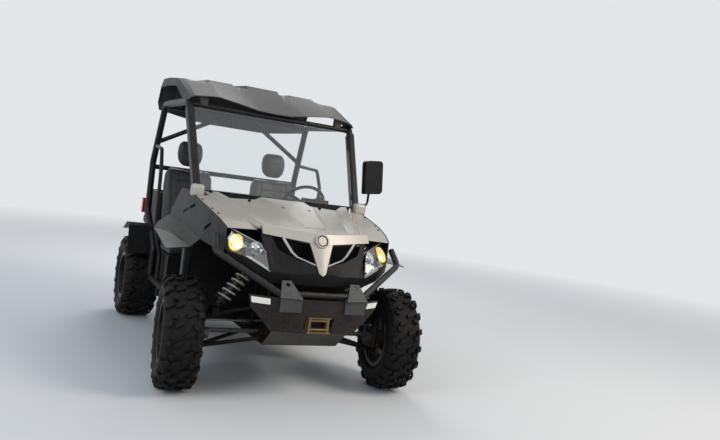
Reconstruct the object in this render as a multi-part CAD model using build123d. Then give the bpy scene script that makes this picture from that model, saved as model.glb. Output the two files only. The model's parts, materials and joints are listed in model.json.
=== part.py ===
# Side-by-side off-road vehicle with two seats, a roll cage, a windshield, a tilting cargo bed
# and steered front wheels. Front at -Y, driver's side at +X, ground at Z = 0, millimetres.
from build123d import *
import math
import os

# Wheels and axles
FRONT_AXLE_Y = -1010
REAR_AXLE_Y = 1030
KINGPIN_X = 600
SCRUB = 95
REAR_WHEEL_X = 620
REAR_OFFSET = 85
TYRE_R = 330
FRONT_TYRE_W = 229
REAR_TYRE_W = 279
TYRE_SIDES = 24
LUGS = 18
LUG_W = 44
LUG_H = 18
LUG_MIDDLE = 8
BEAD_R = 178
BEAD_INSET = 24
RIM_WALL = 12
FLANGE_R = 190
FLANGE_T = 5
DISC_OUT = 35
DISC_T = 10
WINDOWS = 8
WINDOW_R = 26
WINDOW_RING_R = 112
HUB_R = 50
HUB_BACK = 8
HUB_L = 42
SPINDLE_R = 30

# Steering
STEER_REST = -6
STEER_ARM = 95
LEVER_TOP = 46
RACK_Z = 390
RACK_R = 8
EYE_BOSS_R = 14
WHEEL_C = (360, -50, 1125)
COLUMN_FOOT = (360, -332, 932)
COLUMN_R = 26
WHEEL_R = 175
GRIP_R = 14
STEM_L = 45

# Drive
DIFF_X = 85
GEARBOX_X = 120
PROP_Z = 348
PROP_R = 14
SHAFT_ROOM = 6
BOOT_R = 34
BOOT_L = 50
TRANSFER_Y = (270, 340)

# Clearances
FIT = 0.3

# Frame
RAIL_X = 190
RAIL_W = 50
BEAM_W = 30
PAN_T = 6
PAN_Z = 306
RAIL_Z = PAN_Z + PAN_T
RAIL_TOP = RAIL_Z + RAIL_W
OUTRIGGER = 40
FLOOR_Z = RAIL_TOP + 10
SILL_X = 585
SILL_W = 40
SILL_TOP = FLOOR_Z + SILL_W
CAB_FRONT_Y = -560
SILL_REAR_Y = 640
FRAME_FRONT_Y = -1180
FRAME_REAR_Y = 1180
MIDDLE_MEMBER_Y = -200
NOSE_PLATE_Y = -1165
FRONT_PORTAL_Y = -835
REAR_PORTAL_Y = 870
LAST_PORTAL_Y = 1165
FRONT_TOP = 840
BEAM_TOP = 755
BEAM_Z = BEAM_TOP - BEAM_W

# Cab
TUB_X = 560
TUB_T = 6
SEAT_FRONT_Y = 150
SEAT_DECK_Z = 620
TUB_REAR_Y = 680
TUB_REAR_TOP = 1000
FIREWALL_TOP = 960
LIP_H = 90
SEAT_X = 360
SEAT_W = 430
CUSHION_H = 105
BACK_Y = 560
BACK_TOP = 1288
SKIN_T = 5

# Cage
CAGE_R = 25
CROSS_R = 20
BRACE_R = 18
PILLAR_W = 50
PILLAR_D = 74
PILLAR_R = 14
PILLAR_X = 588
PILLAR_KNEE_Z = 900
PILLAR_NECK = (572, -520, 1140)
PILLAR_TOP = (613, -170, 1738)
RAIL_REAR = (605, 700, 1765)
POST_MID = (622, 872, 1300)
POST_LOW = (616, 885, 900)
POST_FOOT = (585, 615, 620)
CAGE_FOOT_X = 585
CAGE_BEND = 70
JOINT_BELOW_TOP = 62
BOLSTER_R = 14
BOLSTER_BEND = 60

# Nose
RADIATOR_Y = (-1215, NOSE_PLATE_Y)
STRUT_X = 110
STRUT_Z = (540, 570)
STRUT_END_Y = -1425
BUMPER_R = 19
BUMPER_BEND = 60
BUMPER_FRONT = (-1420, 654)
BRACKET_T = 8
TOW_HOLE_R = 12
DRUM_R = 38
DRUM_Y = -1330
DRUM_Z = 480
LAMP_T = 42

# Cargo bed
BED_X = 550
BED_FRONT_Y = 800
BED_REAR_Y = 1450
BED_Z = BEAM_TOP + FIT
BED_TOP = 1060
BED_T = 25
BED_FLOOR_T = 12
HINGE_Y = 1350
HINGE_Z = 740
HINGE_R = 10
GATE_T = 25
GATE_ROOM = 9
GATE_HINGE = (1437, 782)
GATE_PIN_R = 8
CHEEK_W = 15

# Rear end
FENDER_X = 562
SILENCER_Y = 1290
SILENCER_Z = 640
SILENCER_R = 70
SILENCER_L = 400
HITCH_W = 63.5
HITCH_BORE = 51
HITCH_Y = 1395
HITCH_Z = 352

os.makedirs("parts", exist_ok=True)


def block(x, y, z):
    """Box from its low and high side along each axis."""
    size = [high - low for low, high in (x, y, z)]
    middle = [(low + high) / 2 for low, high in (x, y, z)]
    return Pos(*middle) * Box(*size)


def around(middle, width):
    """Low and high side of a stretch about its middle."""
    return (middle - width / 2, middle + width / 2)


def rod(start, end, radius):
    """Round bar between two points."""
    run = Vector(*end) - Vector(*start)
    foot = (Align.CENTER, Align.CENTER, Align.MIN)
    return Plane(origin=start, z_dir=run) * Cylinder(radius, run.length, align=foot)


def tube(points, radius, bend):
    """Round tube along straight runs joined by bends of one radius."""
    path = FilletPolyline(*points, radius=bend)
    return sweep(Plane(origin=path @ 0, z_dir=path % 0) * Circle(radius), path=path)


def outline(points):
    """Flat face inside a closed run of points."""
    return make_face(Polyline(*points, close=True)).face()


def plate(points, shift):
    """Flat outline pushed out along a shift."""
    way = Vector(*shift)
    return extrude(outline(points), amount=way.length, dir=way.normalized())


def moved(points, shift):
    """The same points carried along a shift."""
    return [tuple(a + b for a, b in zip(point, shift)) for point in points]


def skin(rows, shift):
    """Panel ruled through rows of points, with its thickness along a shift."""
    sections = [outline(list(row) + moved(row, shift)[::-1]) for row in rows]
    return loft(sections, ruled=True)


def faceted(ring, shift):
    """Block whose front is a fan of triangles from the first point of a ring."""
    back = moved(ring, shift)
    faces = []
    for a, b in zip(range(1, len(ring) - 1), range(2, len(ring))):
        faces.append(outline([ring[0], ring[a], ring[b]]))
        faces.append(outline([back[0], back[a], back[b]]))
    for a in range(len(ring)):
        b = (a + 1) % len(ring)
        faces.append(outline([ring[a], ring[b], back[b], back[a]]))
    return Solid(Shell(faces))


def flip(shape):
    """The same shape on the other side."""
    return mirror(shape, about=Plane.YZ)


def both(half):
    """A half row of points, from the middle out, as a full row."""
    return [(-x, value) for x, value in half[::-1] if x > 0] + list(half)


def pair(shape):
    """A shape and its twin on the other side."""
    return [shape, flip(shape)]


def save(name, *shapes):
    """Write one node from the solids of its shapes."""
    solids = [solid for shape in shapes for solid in shape.solids()]
    export_step(Compound(solids), f"parts/{name}.step")


def biggest(shape):
    """The largest solid of a cut shape."""
    return max(shape.solids(), key=lambda solid: solid.volume)


def joint_of_pillar():
    """Where the front pillar meets the hoop, a little below the hoop's bend."""
    top = Vector(*PILLAR_TOP)
    run = Vector(*PILLAR_NECK) - top
    return tuple(top + run.normalized() * JOINT_BELOW_TOP)


def side_hoop(extra=0):
    """Left hoop of the cage, from the front pillar over the roof and down to the sill."""
    foot = (CAGE_FOOT_X, SILL_REAR_Y - CAGE_R, SILL_TOP)
    points = [joint_of_pillar(), PILLAR_TOP, RAIL_REAR, POST_MID, POST_LOW, POST_FOOT, foot]
    return tube(points, CAGE_R + extra, CAGE_BEND)


def pillar(extra=0):
    """Left front pillar, a rounded box section from the sill to the hoop."""
    y = CAB_FRONT_Y + CAGE_R
    points = [(PILLAR_X, y, SILL_TOP), (PILLAR_X, y, PILLAR_KNEE_Z), PILLAR_NECK, joint_of_pillar()]
    path = FilletPolyline(*points, radius=CAGE_BEND)
    face = RectangleRounded(PILLAR_W + 2 * extra, PILLAR_D + 2 * extra, PILLAR_R)
    return sweep(Plane(origin=path @ 0, x_dir=(1, 0, 0), z_dir=path % 0) * face, path=path)


def cage_room():
    """Everything of the cage's sides, with the clearance round it."""
    return pair(side_hoop(FIT)) + pair(pillar(FIT))


# Tubes that cross from hoop to hoop: (y, z, reach in x)
HEADER = (-168, 1722, 612)
REAR_HEADER = (700, 1752, 605)
SEAT_BAR = (873, 1262, 622)
COWL_BAR = (-562, 1085, 590)


def cross_tube(place, extra=0):
    """One tube from side to side."""
    y, z, reach = place
    return rod((-reach, y, z), (reach, y, z), CROSS_R + extra)


# Corners of the left side bolster, as (distance out from the seat's edge, y, z)
BOLSTER = [(70, 430, 1404), (75, 340, 1262), (65, 330, 800), (10, 330, 600)]


def cage():
    """Side hoops, front pillars, and the cross tubes cut to meet them."""
    save("cage_hoops", *pair(side_hoop()))
    save("front_pillars", *pair(pillar()))
    tubes = [cross_tube(place) for place in (HEADER, REAR_HEADER, SEAT_BAR, COWL_BAR)]
    brace = rod((120, 706, 1745), (612, 830, 1462), BRACE_R)
    joined = tubes[0] + tubes[1:] + pair(brace)
    inside = block(around(0, 2 * CAGE_FOOT_X + 40), (-700, 1000), (900, 1900))
    save("cage_cross_tubes", (joined - cage_room()) & inside)
    # from the rear posts forward beside the seats and down to the sills
    beside = [(SEAT_X + SEAT_W / 2 + out, y, z) for out, y, z in BOLSTER]
    path = [(618, 815, 1432)] + beside + [(SILL_X, 330, SILL_TOP)]
    save("side_bolsters", *pair(tube(path, BOLSTER_R, BOLSTER_BEND) - side_hoop(FIT)))


# Arms of the two axles
ARMS = {
    # name: (axle y, inner x, inner z, half spread, outer x, outer z, ball radius)
    "front_lower": (FRONT_AXLE_Y, 236, 337, 150, KINGPIN_X, 250, 22),
    "front_upper": (FRONT_AXLE_Y, 236, 520, 110, KINGPIN_X, 424, 20),
    "rear_lower": (REAR_AXLE_Y, 236, 337, 150, REAR_WHEEL_X - REAR_OFFSET, 255, 22),
    "rear_upper": (REAR_AXLE_Y, 236, 500, 110, REAR_WHEEL_X - REAR_OFFSET, 415, 20),
}
ARM_R = 12
PIVOT_R = 18
BUSH_L = 50
BALL_H = 32
TAB_T = 8


def arm(name):
    """One forked arm, from its pivot bushes out to its ball."""
    axle, inner_x, inner_z, spread, outer_x, outer_z, ball_r = ARMS[name]
    low, high = around(outer_z, BALL_H)
    shape = rod((outer_x, axle, low), (outer_x, axle, high), ball_r)
    reach = outer_x - ball_r / 2
    for way in (-1, 1):
        ends = sorted((axle + way * spread, axle + way * (spread - BUSH_L)))
        shape += rod((inner_x, ends[0], inner_z), (inner_x, ends[1], inner_z), PIVOT_R)
        shape += rod((inner_x, sum(ends) / 2, inner_z), (reach, axle, outer_z), ARM_R)
    return shape


def ears(name):
    """Ears before and behind a left arm's bushes, reaching in to the frame."""
    axle, inner_x, inner_z, spread, _, _, _ = ARMS[name]
    made = []
    for y in (axle - spread - TAB_T - FIT, axle + spread + FIT):
        made.append(block((RAIL_X, inner_x + PIVOT_R), (y, y + TAB_T), around(inner_z, 2 * PIVOT_R)))
    return made


def frame():
    """Ladder frame: two rails with the lower arms' ears, members across, and sills on their ends."""
    rail = block(around(RAIL_X, RAIL_W), (FRAME_FRONT_Y, FRAME_REAR_Y), (RAIL_Z, RAIL_TOP))
    rail += ears("front_lower") + ears("rear_lower")
    for y in (FRONT_AXLE_Y, REAR_AXLE_Y):
        rail -= rod((0, y, PROP_Z), (2 * RAIL_X, y, PROP_Z), PROP_R + SHAFT_ROOM)
    save("frame_rails", *pair(rail))
    inside, outside = RAIL_X - RAIL_W / 2, RAIL_X + RAIL_W / 2
    members = []
    for y in (CAB_FRONT_Y, MIDDLE_MEMBER_Y, SEAT_FRONT_Y + OUTRIGGER, SILL_REAR_Y - OUTRIGGER):
        members.append(block((-inside, inside), (y, y + OUTRIGGER), (RAIL_Z, FLOOR_Z)))
        members += pair(block((outside, SILL_X + SILL_W / 2), (y, y + OUTRIGGER), (RAIL_Z, FLOOR_Z)))
    for y in (FRAME_FRONT_Y, FRAME_REAR_Y - OUTRIGGER):
        members.append(block((-inside, inside), (y, y + OUTRIGGER), (RAIL_Z, RAIL_TOP)))
    shaft = rod((0, FRAME_FRONT_Y, PROP_Z), (0, FRAME_REAR_Y, PROP_Z), PROP_R + SHAFT_ROOM)
    save("frame_members", *[member - shaft for member in members])
    sill = block(around(SILL_X, SILL_W), (CAB_FRONT_Y, SILL_REAR_Y), (FLOOR_Z, SILL_TOP))
    save("frame_sills", *pair(sill))
    # side view of the pan, its nose turned up to the winch: (y, z)
    low = [(-1330, 430), (FRAME_FRONT_Y, PAN_Z), (FRAME_REAR_Y, PAN_Z)]
    half = RAIL_X + RAIL_W
    side = [(-half, y, z) for y, z in low] + [(-half, y, z + PAN_T) for y, z in low[::-1]]
    save("belly_pan", plate(side, (2 * half, 0, 0)))


def portal(y, top):
    """Upright frame across the vehicle, standing on the rails."""
    leg = block(around(RAIL_X, BEAM_W), (y, y + BEAM_W), (RAIL_TOP, top))
    head = block(around(0, 2 * RAIL_X + BEAM_W), (y, y + BEAM_W), (top - BEAM_W, top))
    return leg + flip(leg) + head


def beam(y, top):
    """Left lengthwise beam between two places in Y."""
    return block(around(RAIL_X, BEAM_W), y, (top - BEAM_W, top))


# Shocks of the two axles: (y, top x, top z, foot x, foot z)
SHOCKS = {
    "front": (FRONT_AXLE_Y, 250, 800, 500, 482),
    "rear": (REAR_AXLE_Y, 330, 722, 420, 482),
}
SPRING_R = 45
SPRING_CORE = 33
SPRING_TURNS = 7
SPRING_SPAN = (0.16, 0.86)
CUP_T = 8
EYE_R = 16


def shock(name):
    """Damper with its spring drawn as ridges round a core."""
    y, top_x, top_z, foot_x, foot_z = SHOCKS[name]
    run = Vector(top_x - foot_x, 0, top_z - foot_z)
    start, end = [share * run.length for share in SPRING_SPAN]
    pitch = (end - start) / SPRING_TURNS
    side = [(0, 0), (EYE_R, 0), (EYE_R, start - CUP_T), (SPRING_R, start - CUP_T), (SPRING_R, start)]
    for turn in range(SPRING_TURNS):
        low = start + turn * pitch
        side += [(SPRING_CORE, low + pitch / 4), (SPRING_CORE, low + pitch * 3 / 4),
                 (SPRING_R, low + pitch)]
    side += [(SPRING_R, end + CUP_T), (EYE_R, end + CUP_T), (EYE_R, run.length), (0, run.length)]
    shape = revolve(outline([(r, 0, h) for r, h in side]), axis=Axis.Z)
    return Plane(origin=(foot_x, y, foot_z), z_dir=run, x_dir=(0, 1, 0)) * shape


def shock_room(name):
    """Room for both ends of a shock in what holds them."""
    y, top_x, top_z, foot_x, foot_z = SHOCKS[name]
    over = Vector(top_x - foot_x, 0, top_z - foot_z).normalized() * FIT
    start = (foot_x - over.X, y, foot_z - over.Z)
    end = (top_x + over.X, y, top_z + over.Z)
    return rod(start, end, EYE_R + FIT)


def shock_seat(name, top):
    """Left arm of a subframe that reaches out over the shock."""
    y, top_x, _, _, _ = SHOCKS[name]
    return block((RAIL_X, top_x + 35), around(y, 60), (top - BEAM_W - 2, top))


def rack_housing():
    """Tube for the rack on a plate between the rails."""
    y = FRONT_AXLE_Y + STEER_ARM
    back = (y + 12, y + 24)
    housing = rod((-150, y, RACK_Z), (150, y, RACK_Z), 20)
    housing += block((-RAIL_X, RAIL_X), back, (PROP_Z + PROP_R + SHAFT_ROOM, RACK_Z + 14))
    foot = block(around(RAIL_X, BEAM_W), back, (RAIL_TOP, RACK_Z + 14))
    return (housing + pair(foot)) - rod((-160, y, RACK_Z), (160, y, RACK_Z), RACK_R + FIT)


def subframes():
    """Upright frames over the two axles, with the upper arms' ears and the shocks' seats."""
    along = (NOSE_PLATE_Y, FRONT_PORTAL_Y)
    front = portal(NOSE_PLATE_Y, FRONT_TOP) + portal(FRONT_PORTAL_Y - BEAM_W, FRONT_TOP)
    upper_z = ARMS["front_upper"][2] + BEAM_W / 2
    save("nose_struts", *pair(block(around(STRUT_X, BEAM_W), (STRUT_END_Y, NOSE_PLATE_Y), STRUT_Z)))
    tie = block((-RAIL_X, RAIL_X), (NOSE_PLATE_Y, NOSE_PLATE_Y + BEAM_W), STRUT_Z)
    front += tie
    seat = shock_seat("front", FRONT_TOP)
    for piece in (beam(along, FRONT_TOP), beam(along, upper_z), seat, *ears("front_upper")):
        front += pair(piece)
    save("front_subframe", front - pair(shock_room("front")), rack_housing())

    rear = portal(REAR_PORTAL_Y, BEAM_TOP) + portal(LAST_PORTAL_Y, BEAM_TOP)
    low = beam((REAR_PORTAL_Y, LAST_PORTAL_Y + BEAM_W), ARMS["rear_upper"][2] + BEAM_W / 2)
    top = beam((TUB_REAR_Y, HINGE_Y), BEAM_TOP)
    top -= block((0, RAIL_X + BEAM_W), (HINGE_Y - 20, HINGE_Y + 1), (HINGE_Z + 12, BEAM_TOP))
    x = around(RAIL_X, BEAM_W)
    top += rod((x[0], HINGE_Y, HINGE_Z), (x[1], HINGE_Y, HINGE_Z), HINGE_R + 4)
    for piece in (low, top, shock_seat("rear", BEAM_TOP), *ears("rear_upper")):
        rear += pair(piece)
    rear += rod((-RAIL_X, HINGE_Y, HINGE_Z), (RAIL_X, HINGE_Y, HINGE_Z), HINGE_R)
    save("rear_subframe", rear - pair(shock_room("rear")))


def suspension():
    """Arms of both axles, the rear uprights, and the spring and damper units."""
    for axle in ("front", "rear"):
        upper = arm(f"{axle}_upper")
        y, _, _, foot_x, foot_z = SHOCKS[axle]
        seat = block(around(foot_x, 40), around(y, 90), (foot_z - 42, foot_z + 4))
        upper += seat - shock_room(axle)
        pieces = pair(arm(f"{axle}_lower")) + pair(upper)
        if axle == "rear":
            pieces += pair(rear_upright())
        save(f"{axle}_arms", *pieces)
    save("shocks", *pair(shock("front")), *pair(shock("rear")))


def rear_upright():
    """Carrier between the rear arms' balls, with the spindle out to the hub."""
    ball_x = REAR_WHEEL_X - REAR_OFFSET
    hub_x = REAR_WHEEL_X + DISC_OUT - HUB_BACK - FIT
    shape = rod((ball_x - 28, REAR_AXLE_Y, TYRE_R), (hub_x, REAR_AXLE_Y, TYRE_R), SPINDLE_R + 8)
    low = ARMS["rear_lower"][5] + BALL_H / 2 + FIT
    high = ARMS["rear_upper"][5] - BALL_H / 2 - FIT
    return shape + block(around(ball_x, 44), around(REAR_AXLE_Y, 48), (low, high))


def ring(side):
    """Solid turned round the X axis from its (x, r) outline."""
    return revolve(outline([(x, 0, r) for x, r in side]), axis=Axis.X)


def facets(side):
    """Ring of flat facets about the X axis from its closed (x, r) outline."""
    turns = [2 * math.pi * (k + 0.5) / TYRE_SIDES for k in range(TYRE_SIDES)]
    faces = []
    for start, end in zip(side, side[1:] + side[:1]):
        for a, b in zip(turns, turns[1:] + turns[:1]):
            corners = [(start, a), (start, b), (end, b), (end, a)]
            faces.append(outline([(x, r * math.cos(t), r * math.sin(t)) for (x, r), t in corners]))
    return Solid(Shell(faces))


def tyre(width):
    """Faceted carcass with heavy lugs that run over both shoulders, staggered from side to side."""
    half = width / 2
    bead = half - BEAD_INSET
    bore = BEAD_R / math.cos(math.pi / TYRE_SIDES)
    tread = TYRE_R - LUG_H
    side = [(bead, bore), (bead, BEAD_R + 22), (half, BEAD_R + 80), (half - 10, TYRE_R - 34),
            (half - 34, tread)]
    carcass = facets([(-x, r) for x, r in side] + side[::-1])
    profile = [(LUG_MIDDLE, tread - LUG_H), (LUG_MIDDLE, TYRE_R), (half - 30, TYRE_R),
               (half - 1, TYRE_R - 38), (half - 12, TYRE_R - 48)]
    lug = plate([(x, -LUG_W / 2, z) for x, z in profile], (0, LUG_W, 0))
    lugs = []
    for turn in range(LUGS):
        lugs.append(Rot(360 / LUGS * turn, 0, 0) * lug)
        lugs.append(Rot(360 / LUGS * (turn + 0.5), 0, 0) * flip(lug))
    return carcass + lugs


def rim(width):
    """Barrel with a flange each side, a disc with round windows, and the hub."""
    bead = width / 2 - BEAD_INSET + FIT
    lip = bead + FLANGE_T
    seat = BEAD_R - FIT
    inner = seat - RIM_WALL
    barrel = ring([(-lip, inner), (-lip, FLANGE_R), (-bead, FLANGE_R), (-bead, seat),
                   (bead, seat), (bead, FLANGE_R), (lip, FLANGE_R), (lip, inner)])
    disc = rod((DISC_OUT, 0, 0), (DISC_OUT + DISC_T, 0, 0), inner + 1)
    hub = rod((DISC_OUT - HUB_BACK, 0, 0), (DISC_OUT - HUB_BACK + HUB_L, 0, 0), HUB_R)
    windows = []
    for turn in range(WINDOWS):
        angle = 2 * math.pi * turn / WINDOWS
        y, z = WINDOW_RING_R * math.cos(angle), WINDOW_RING_R * math.sin(angle)
        windows.append(rod((DISC_OUT - 1, y, z), (DISC_OUT + DISC_T + 1, y, z), WINDOW_R))
    return barrel + (disc - windows) + hub


def knuckle():
    """Left upright, in its own frame with the kingpin on Z and the axle's height at 0."""
    low = ARMS["front_lower"][5] + BALL_H / 2 + FIT - TYRE_R
    high = ARMS["front_upper"][5] - BALL_H / 2 - FIT - TYRE_R
    post = rod((0, 0, low), (0, 0, high), 17)
    carrier = rod((10, 0, 0), (62, 0, 0), 48)
    spindle = rod((40, 0, 0), (SCRUB + DISC_OUT - HUB_BACK - FIT, 0, 0), SPINDLE_R)
    lever = block((-15, 15), (0, STEER_ARM + 15), (LEVER_TOP - 12, LEVER_TOP))
    return post + carrier + spindle + lever


def at_kingpin(shape):
    """Left front piece, from the kingpin's frame to its place, steered as it rests."""
    return Pos(KINGPIN_X, FRONT_AXLE_Y, TYRE_R) * Rot(0, 0, STEER_REST) * shape


def at_right_kingpin(shape):
    """Right front piece, mirrored and then steered the same way."""
    return Pos(-KINGPIN_X, FRONT_AXLE_Y, TYRE_R) * Rot(0, 0, STEER_REST) * flip(shape)


def wheels():
    """Four wheels, each a tyre on its rim, and the two steered uprights."""
    for name, shape in (("tyre", tyre(FRONT_TYRE_W)), ("rim", rim(FRONT_TYRE_W))):
        out = Pos(SCRUB, 0, 0) * shape
        save(f"{name}_front_left", at_kingpin(out))
        save(f"{name}_front_right", at_right_kingpin(out))
    # the rear tyres stand turned by half the pitch of their lugs
    turned = Rot(180 / LUGS, 0, 0) * tyre(REAR_TYRE_W)
    for name, shape in (("tyre", turned), ("rim", rim(REAR_TYRE_W))):
        out = Pos(REAR_WHEEL_X, REAR_AXLE_Y, TYRE_R) * shape
        save(f"{name}_rear_left", out)
        save(f"{name}_rear_right", flip(out))
    save("knuckle_front_left", at_kingpin(knuckle()))
    save("knuckle_front_right", at_right_kingpin(knuckle()))


def final_drive(half, ends, top, prop, axle, reach):
    """Gearbox of one axle with its propeller shaft and both half shafts."""
    body = block((-half, half), (axle + ends[0], axle + ends[1]), (RAIL_Z, top))
    body += rod((0, prop[0], PROP_Z), (0, prop[1], PROP_Z), PROP_R)
    bend = reach - BOOT_L + 5
    side = rod((half - 20, axle, PROP_Z), (bend, axle, PROP_Z), PROP_R)
    side += rod((bend, axle, PROP_Z), (reach - PROP_R, axle, TYRE_R), PROP_R)
    side += rod((reach - BOOT_L, axle, TYRE_R), (reach, axle, TYRE_R), BOOT_R)
    side += rod((half - 10, axle, PROP_Z), (half + BOOT_L - 10, axle, PROP_Z), BOOT_R)
    return body + pair(side)


def drive():
    """Engine with its transfer case, and the two final drives with their shafts."""
    engine = block((-210, 190), (SEAT_FRONT_Y + 100, 660), (FLOOR_Z, 600))
    near, far = TRANSFER_Y
    transfer = block((-60, 60), TRANSFER_Y, (RAIL_Z + 12, FLOOR_Z + 1))
    save("engine_block", engine + transfer)
    front = final_drive(DIFF_X, (-75, 65), 408, (FRONT_AXLE_Y, near - FIT), FRONT_AXLE_Y,
                        KINGPIN_X - 28)
    rear = final_drive(GEARBOX_X, (-120, 90), 470, (far + FIT, REAR_AXLE_Y), REAR_AXLE_Y,
                       REAR_WHEEL_X - REAR_OFFSET - 28 - FIT)
    save("axle_drives", front, rear)


def steering():
    """Rack with its tie rods and the open eyes over the levers."""
    y = FRONT_AXLE_Y + STEER_ARM
    slide = STEER_ARM * math.sin(math.radians(-STEER_REST))
    ends = (-KINGPIN_X + slide, KINGPIN_X + slide)
    bar = rod((ends[0], y, RACK_Z), (ends[1], y, RACK_Z), RACK_R)
    for x in ends:
        bar += rod((x, y, RACK_Z - RACK_R), (x, y, RACK_Z + 10), EYE_BOSS_R)
    save("steering_rack", bar)


def controls():
    """Dashboard with its instrument pod, steering column and steering wheel."""
    way = (Vector(*WHEEL_C) - Vector(*COLUMN_FOOT)).normalized()
    stem = Vector(*WHEEL_C) - way * STEM_L
    save("steering_column", rod(COLUMN_FOOT, tuple(stem - way * FIT), COLUMN_R))
    side = [(-520, 985), (-520, 1130), (-490, 1156), (-330, 1135), (-235, 1085), (-215, 1040),
            (-262, 985), (-300, 920), (-400, 900)]
    dash = plate([(-SILL_X, y, z) for y, z in side], (2 * SILL_X, 0, 0))
    dash += block(around(WHEEL_C[0], 180), (-330, -235), (1060, 1175))
    dash -= rod(COLUMN_FOOT, tuple(stem), COLUMN_R + FIT)
    inside = block((-TUB_X, TUB_X), (-700, 0), (800, 1300))
    save("dashboard", biggest((dash - cage_room()) & inside))
    wheel = Torus(WHEEL_R - GRIP_R, GRIP_R)
    wheel += Cylinder(38, 24)
    wheel += Pos(0, 0, -STEM_L / 2) * Cylinder(COLUMN_R, STEM_L)
    for angle in (90, 210, 330):
        wheel += Rot(0, 0, angle) * block((30, WHEEL_R - GRIP_R), (-13, 13), (-7, 3))
    save("steering_wheel", Plane(origin=WHEEL_C, z_dir=way, x_dir=(1, 0, 0)) * wheel)


def tub():
    """Floor, firewall, seat box and rear wall of the cab, with low sides."""
    side = [(CAB_FRONT_Y, FIREWALL_TOP), (CAB_FRONT_Y, FLOOR_Z), (SEAT_FRONT_Y, FLOOR_Z),
            (SEAT_FRONT_Y, SEAT_DECK_Z), (TUB_REAR_Y, SEAT_DECK_Z), (TUB_REAR_Y, TUB_REAR_TOP)]
    t = TUB_T
    inner = [(TUB_REAR_Y - t, TUB_REAR_TOP), (TUB_REAR_Y - t, SEAT_DECK_Z + t),
             (SEAT_FRONT_Y - t, SEAT_DECK_Z + t), (SEAT_FRONT_Y - t, FLOOR_Z + t),
             (CAB_FRONT_Y + t, FLOOR_Z + t), (CAB_FRONT_Y + t, FIREWALL_TOP)]
    pan = plate([(-TUB_X, y, z) for y, z in side + inner], (2 * TUB_X, 0, 0))
    lip = block((TUB_X - t, TUB_X), (CAB_FRONT_Y, SEAT_FRONT_Y), (FLOOR_Z, FLOOR_Z + LIP_H))
    cheek = block((TUB_X - t, TUB_X), (SEAT_FRONT_Y - t, TUB_REAR_Y), (FLOOR_Z, SEAT_DECK_Z))
    save("cabin_tub", (pan + pair(lip) + pair(cheek)) - pair(pillar(FIT)))


def stack(levels):
    """Solid through level rectangles about a seat's middle."""
    rows = []
    for z, y, half, depth in levels:
        rows.append(outline([(SEAT_X - half, y, z), (SEAT_X + half, y, z),
                             (SEAT_X + half, y + depth, z), (SEAT_X - half, y + depth, z)]))
    return loft(rows, ruled=True)


def seats():
    """Cushion, leaning back and headrest of both seats."""
    low = SEAT_DECK_Z + TUB_T
    near, far = SEAT_FRONT_Y + 10, BACK_Y
    side = [(near + 10, low), (near, low + 80), (near + 40, low + CUSHION_H),
            (far, low + CUSHION_H - 20), (far, low)]
    left = SEAT_X - SEAT_W / 2
    save("seat_cushions", *pair(plate([(left, y, z) for y, z in side], (SEAT_W, 0, 0))))
    # (z, front y, half width, depth)
    back = [(low + 20, far + FIT, 190, TUB_REAR_Y - TUB_T - far - 2 * FIT), (880, 582, 212, 84),
            (1000, 603, 212, 68), (1120, 640, 215, 88), (1230, 664, 205, 88), (BACK_TOP, 680, 165, 66)]
    save("seat_backs", *pair(stack(back)))
    rest = [(BACK_TOP + FIT, 690, 50, 46), (1306, 692, 60, 56), (1316, 688, 88, 76),
            (1400, 694, 106, 90), (1480, 706, 98, 84), (1510, 722, 72, 54)]
    save("headrests", *pair(stack(rest)))


# Left side panel at stations: (y, top x, top z, foot x, foot z)
SIDE_PANEL = [
    (-60, 622, 985, 624, 940),
    (-300, 614, 1146, 622, 934),
    (-520, 606, 1138, 622, 918),
    (-600, 600, 1120, 622, 908),
    (-930, 574, 1054, 610, 868),
    (-1077, 550, 1014, 568, 846),
    (-1165, 530, 978, 532, 812),
]
# Slots through the side panel, by the two ends of their upper edge: (y, z, end y, end z, height)
SLOTS = [(-430, 1001, -660, 1066, 18), (-925, 943, -985, 985, 24)]
# Inner edge of the left fender top at the panel's stations: (y, x, z)
FENDER_INNER = [(-600, 500, 1124), (-930, 404, 1050), (-1077, 352, 1010), (-1165, 345, 980)]
# Left flare at the panel's stations: (y, outer x, outer z, crease x, crease z)
FLARE = [(-930, 806, 803, 668, 822), (-600, 796, 850, 694, 872),
         (-300, 770, 862, 702, 892), (-60, 704, 884, 694, 894)]
FLARE_LIFT = 8
# Hood at stations: (y, half row of (x, z) from the middle out)
HOOD = [
    (-575, [(0, 1150), (150, 1152), (200, 1128), (400, 1120), (440, 1150), (478, 1152), (492, 1130)]),
    (-760, [(0, 1128), (140, 1128), (185, 1100), (345, 1090), (385, 1116), (420, 1116), (434, 1096)]),
    (-1129, [(0, 1042), (70, 1042), (120, 1026), (250, 1008), (292, 1020), (322, 1019), (334, 1002)]),
    (-1205, [(0, 1022), (60, 1022), (110, 1010), (230, 996), (262, 1002), (292, 1002), (304, 990)]),
]
HOOD_FOOT_X = 300


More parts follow.
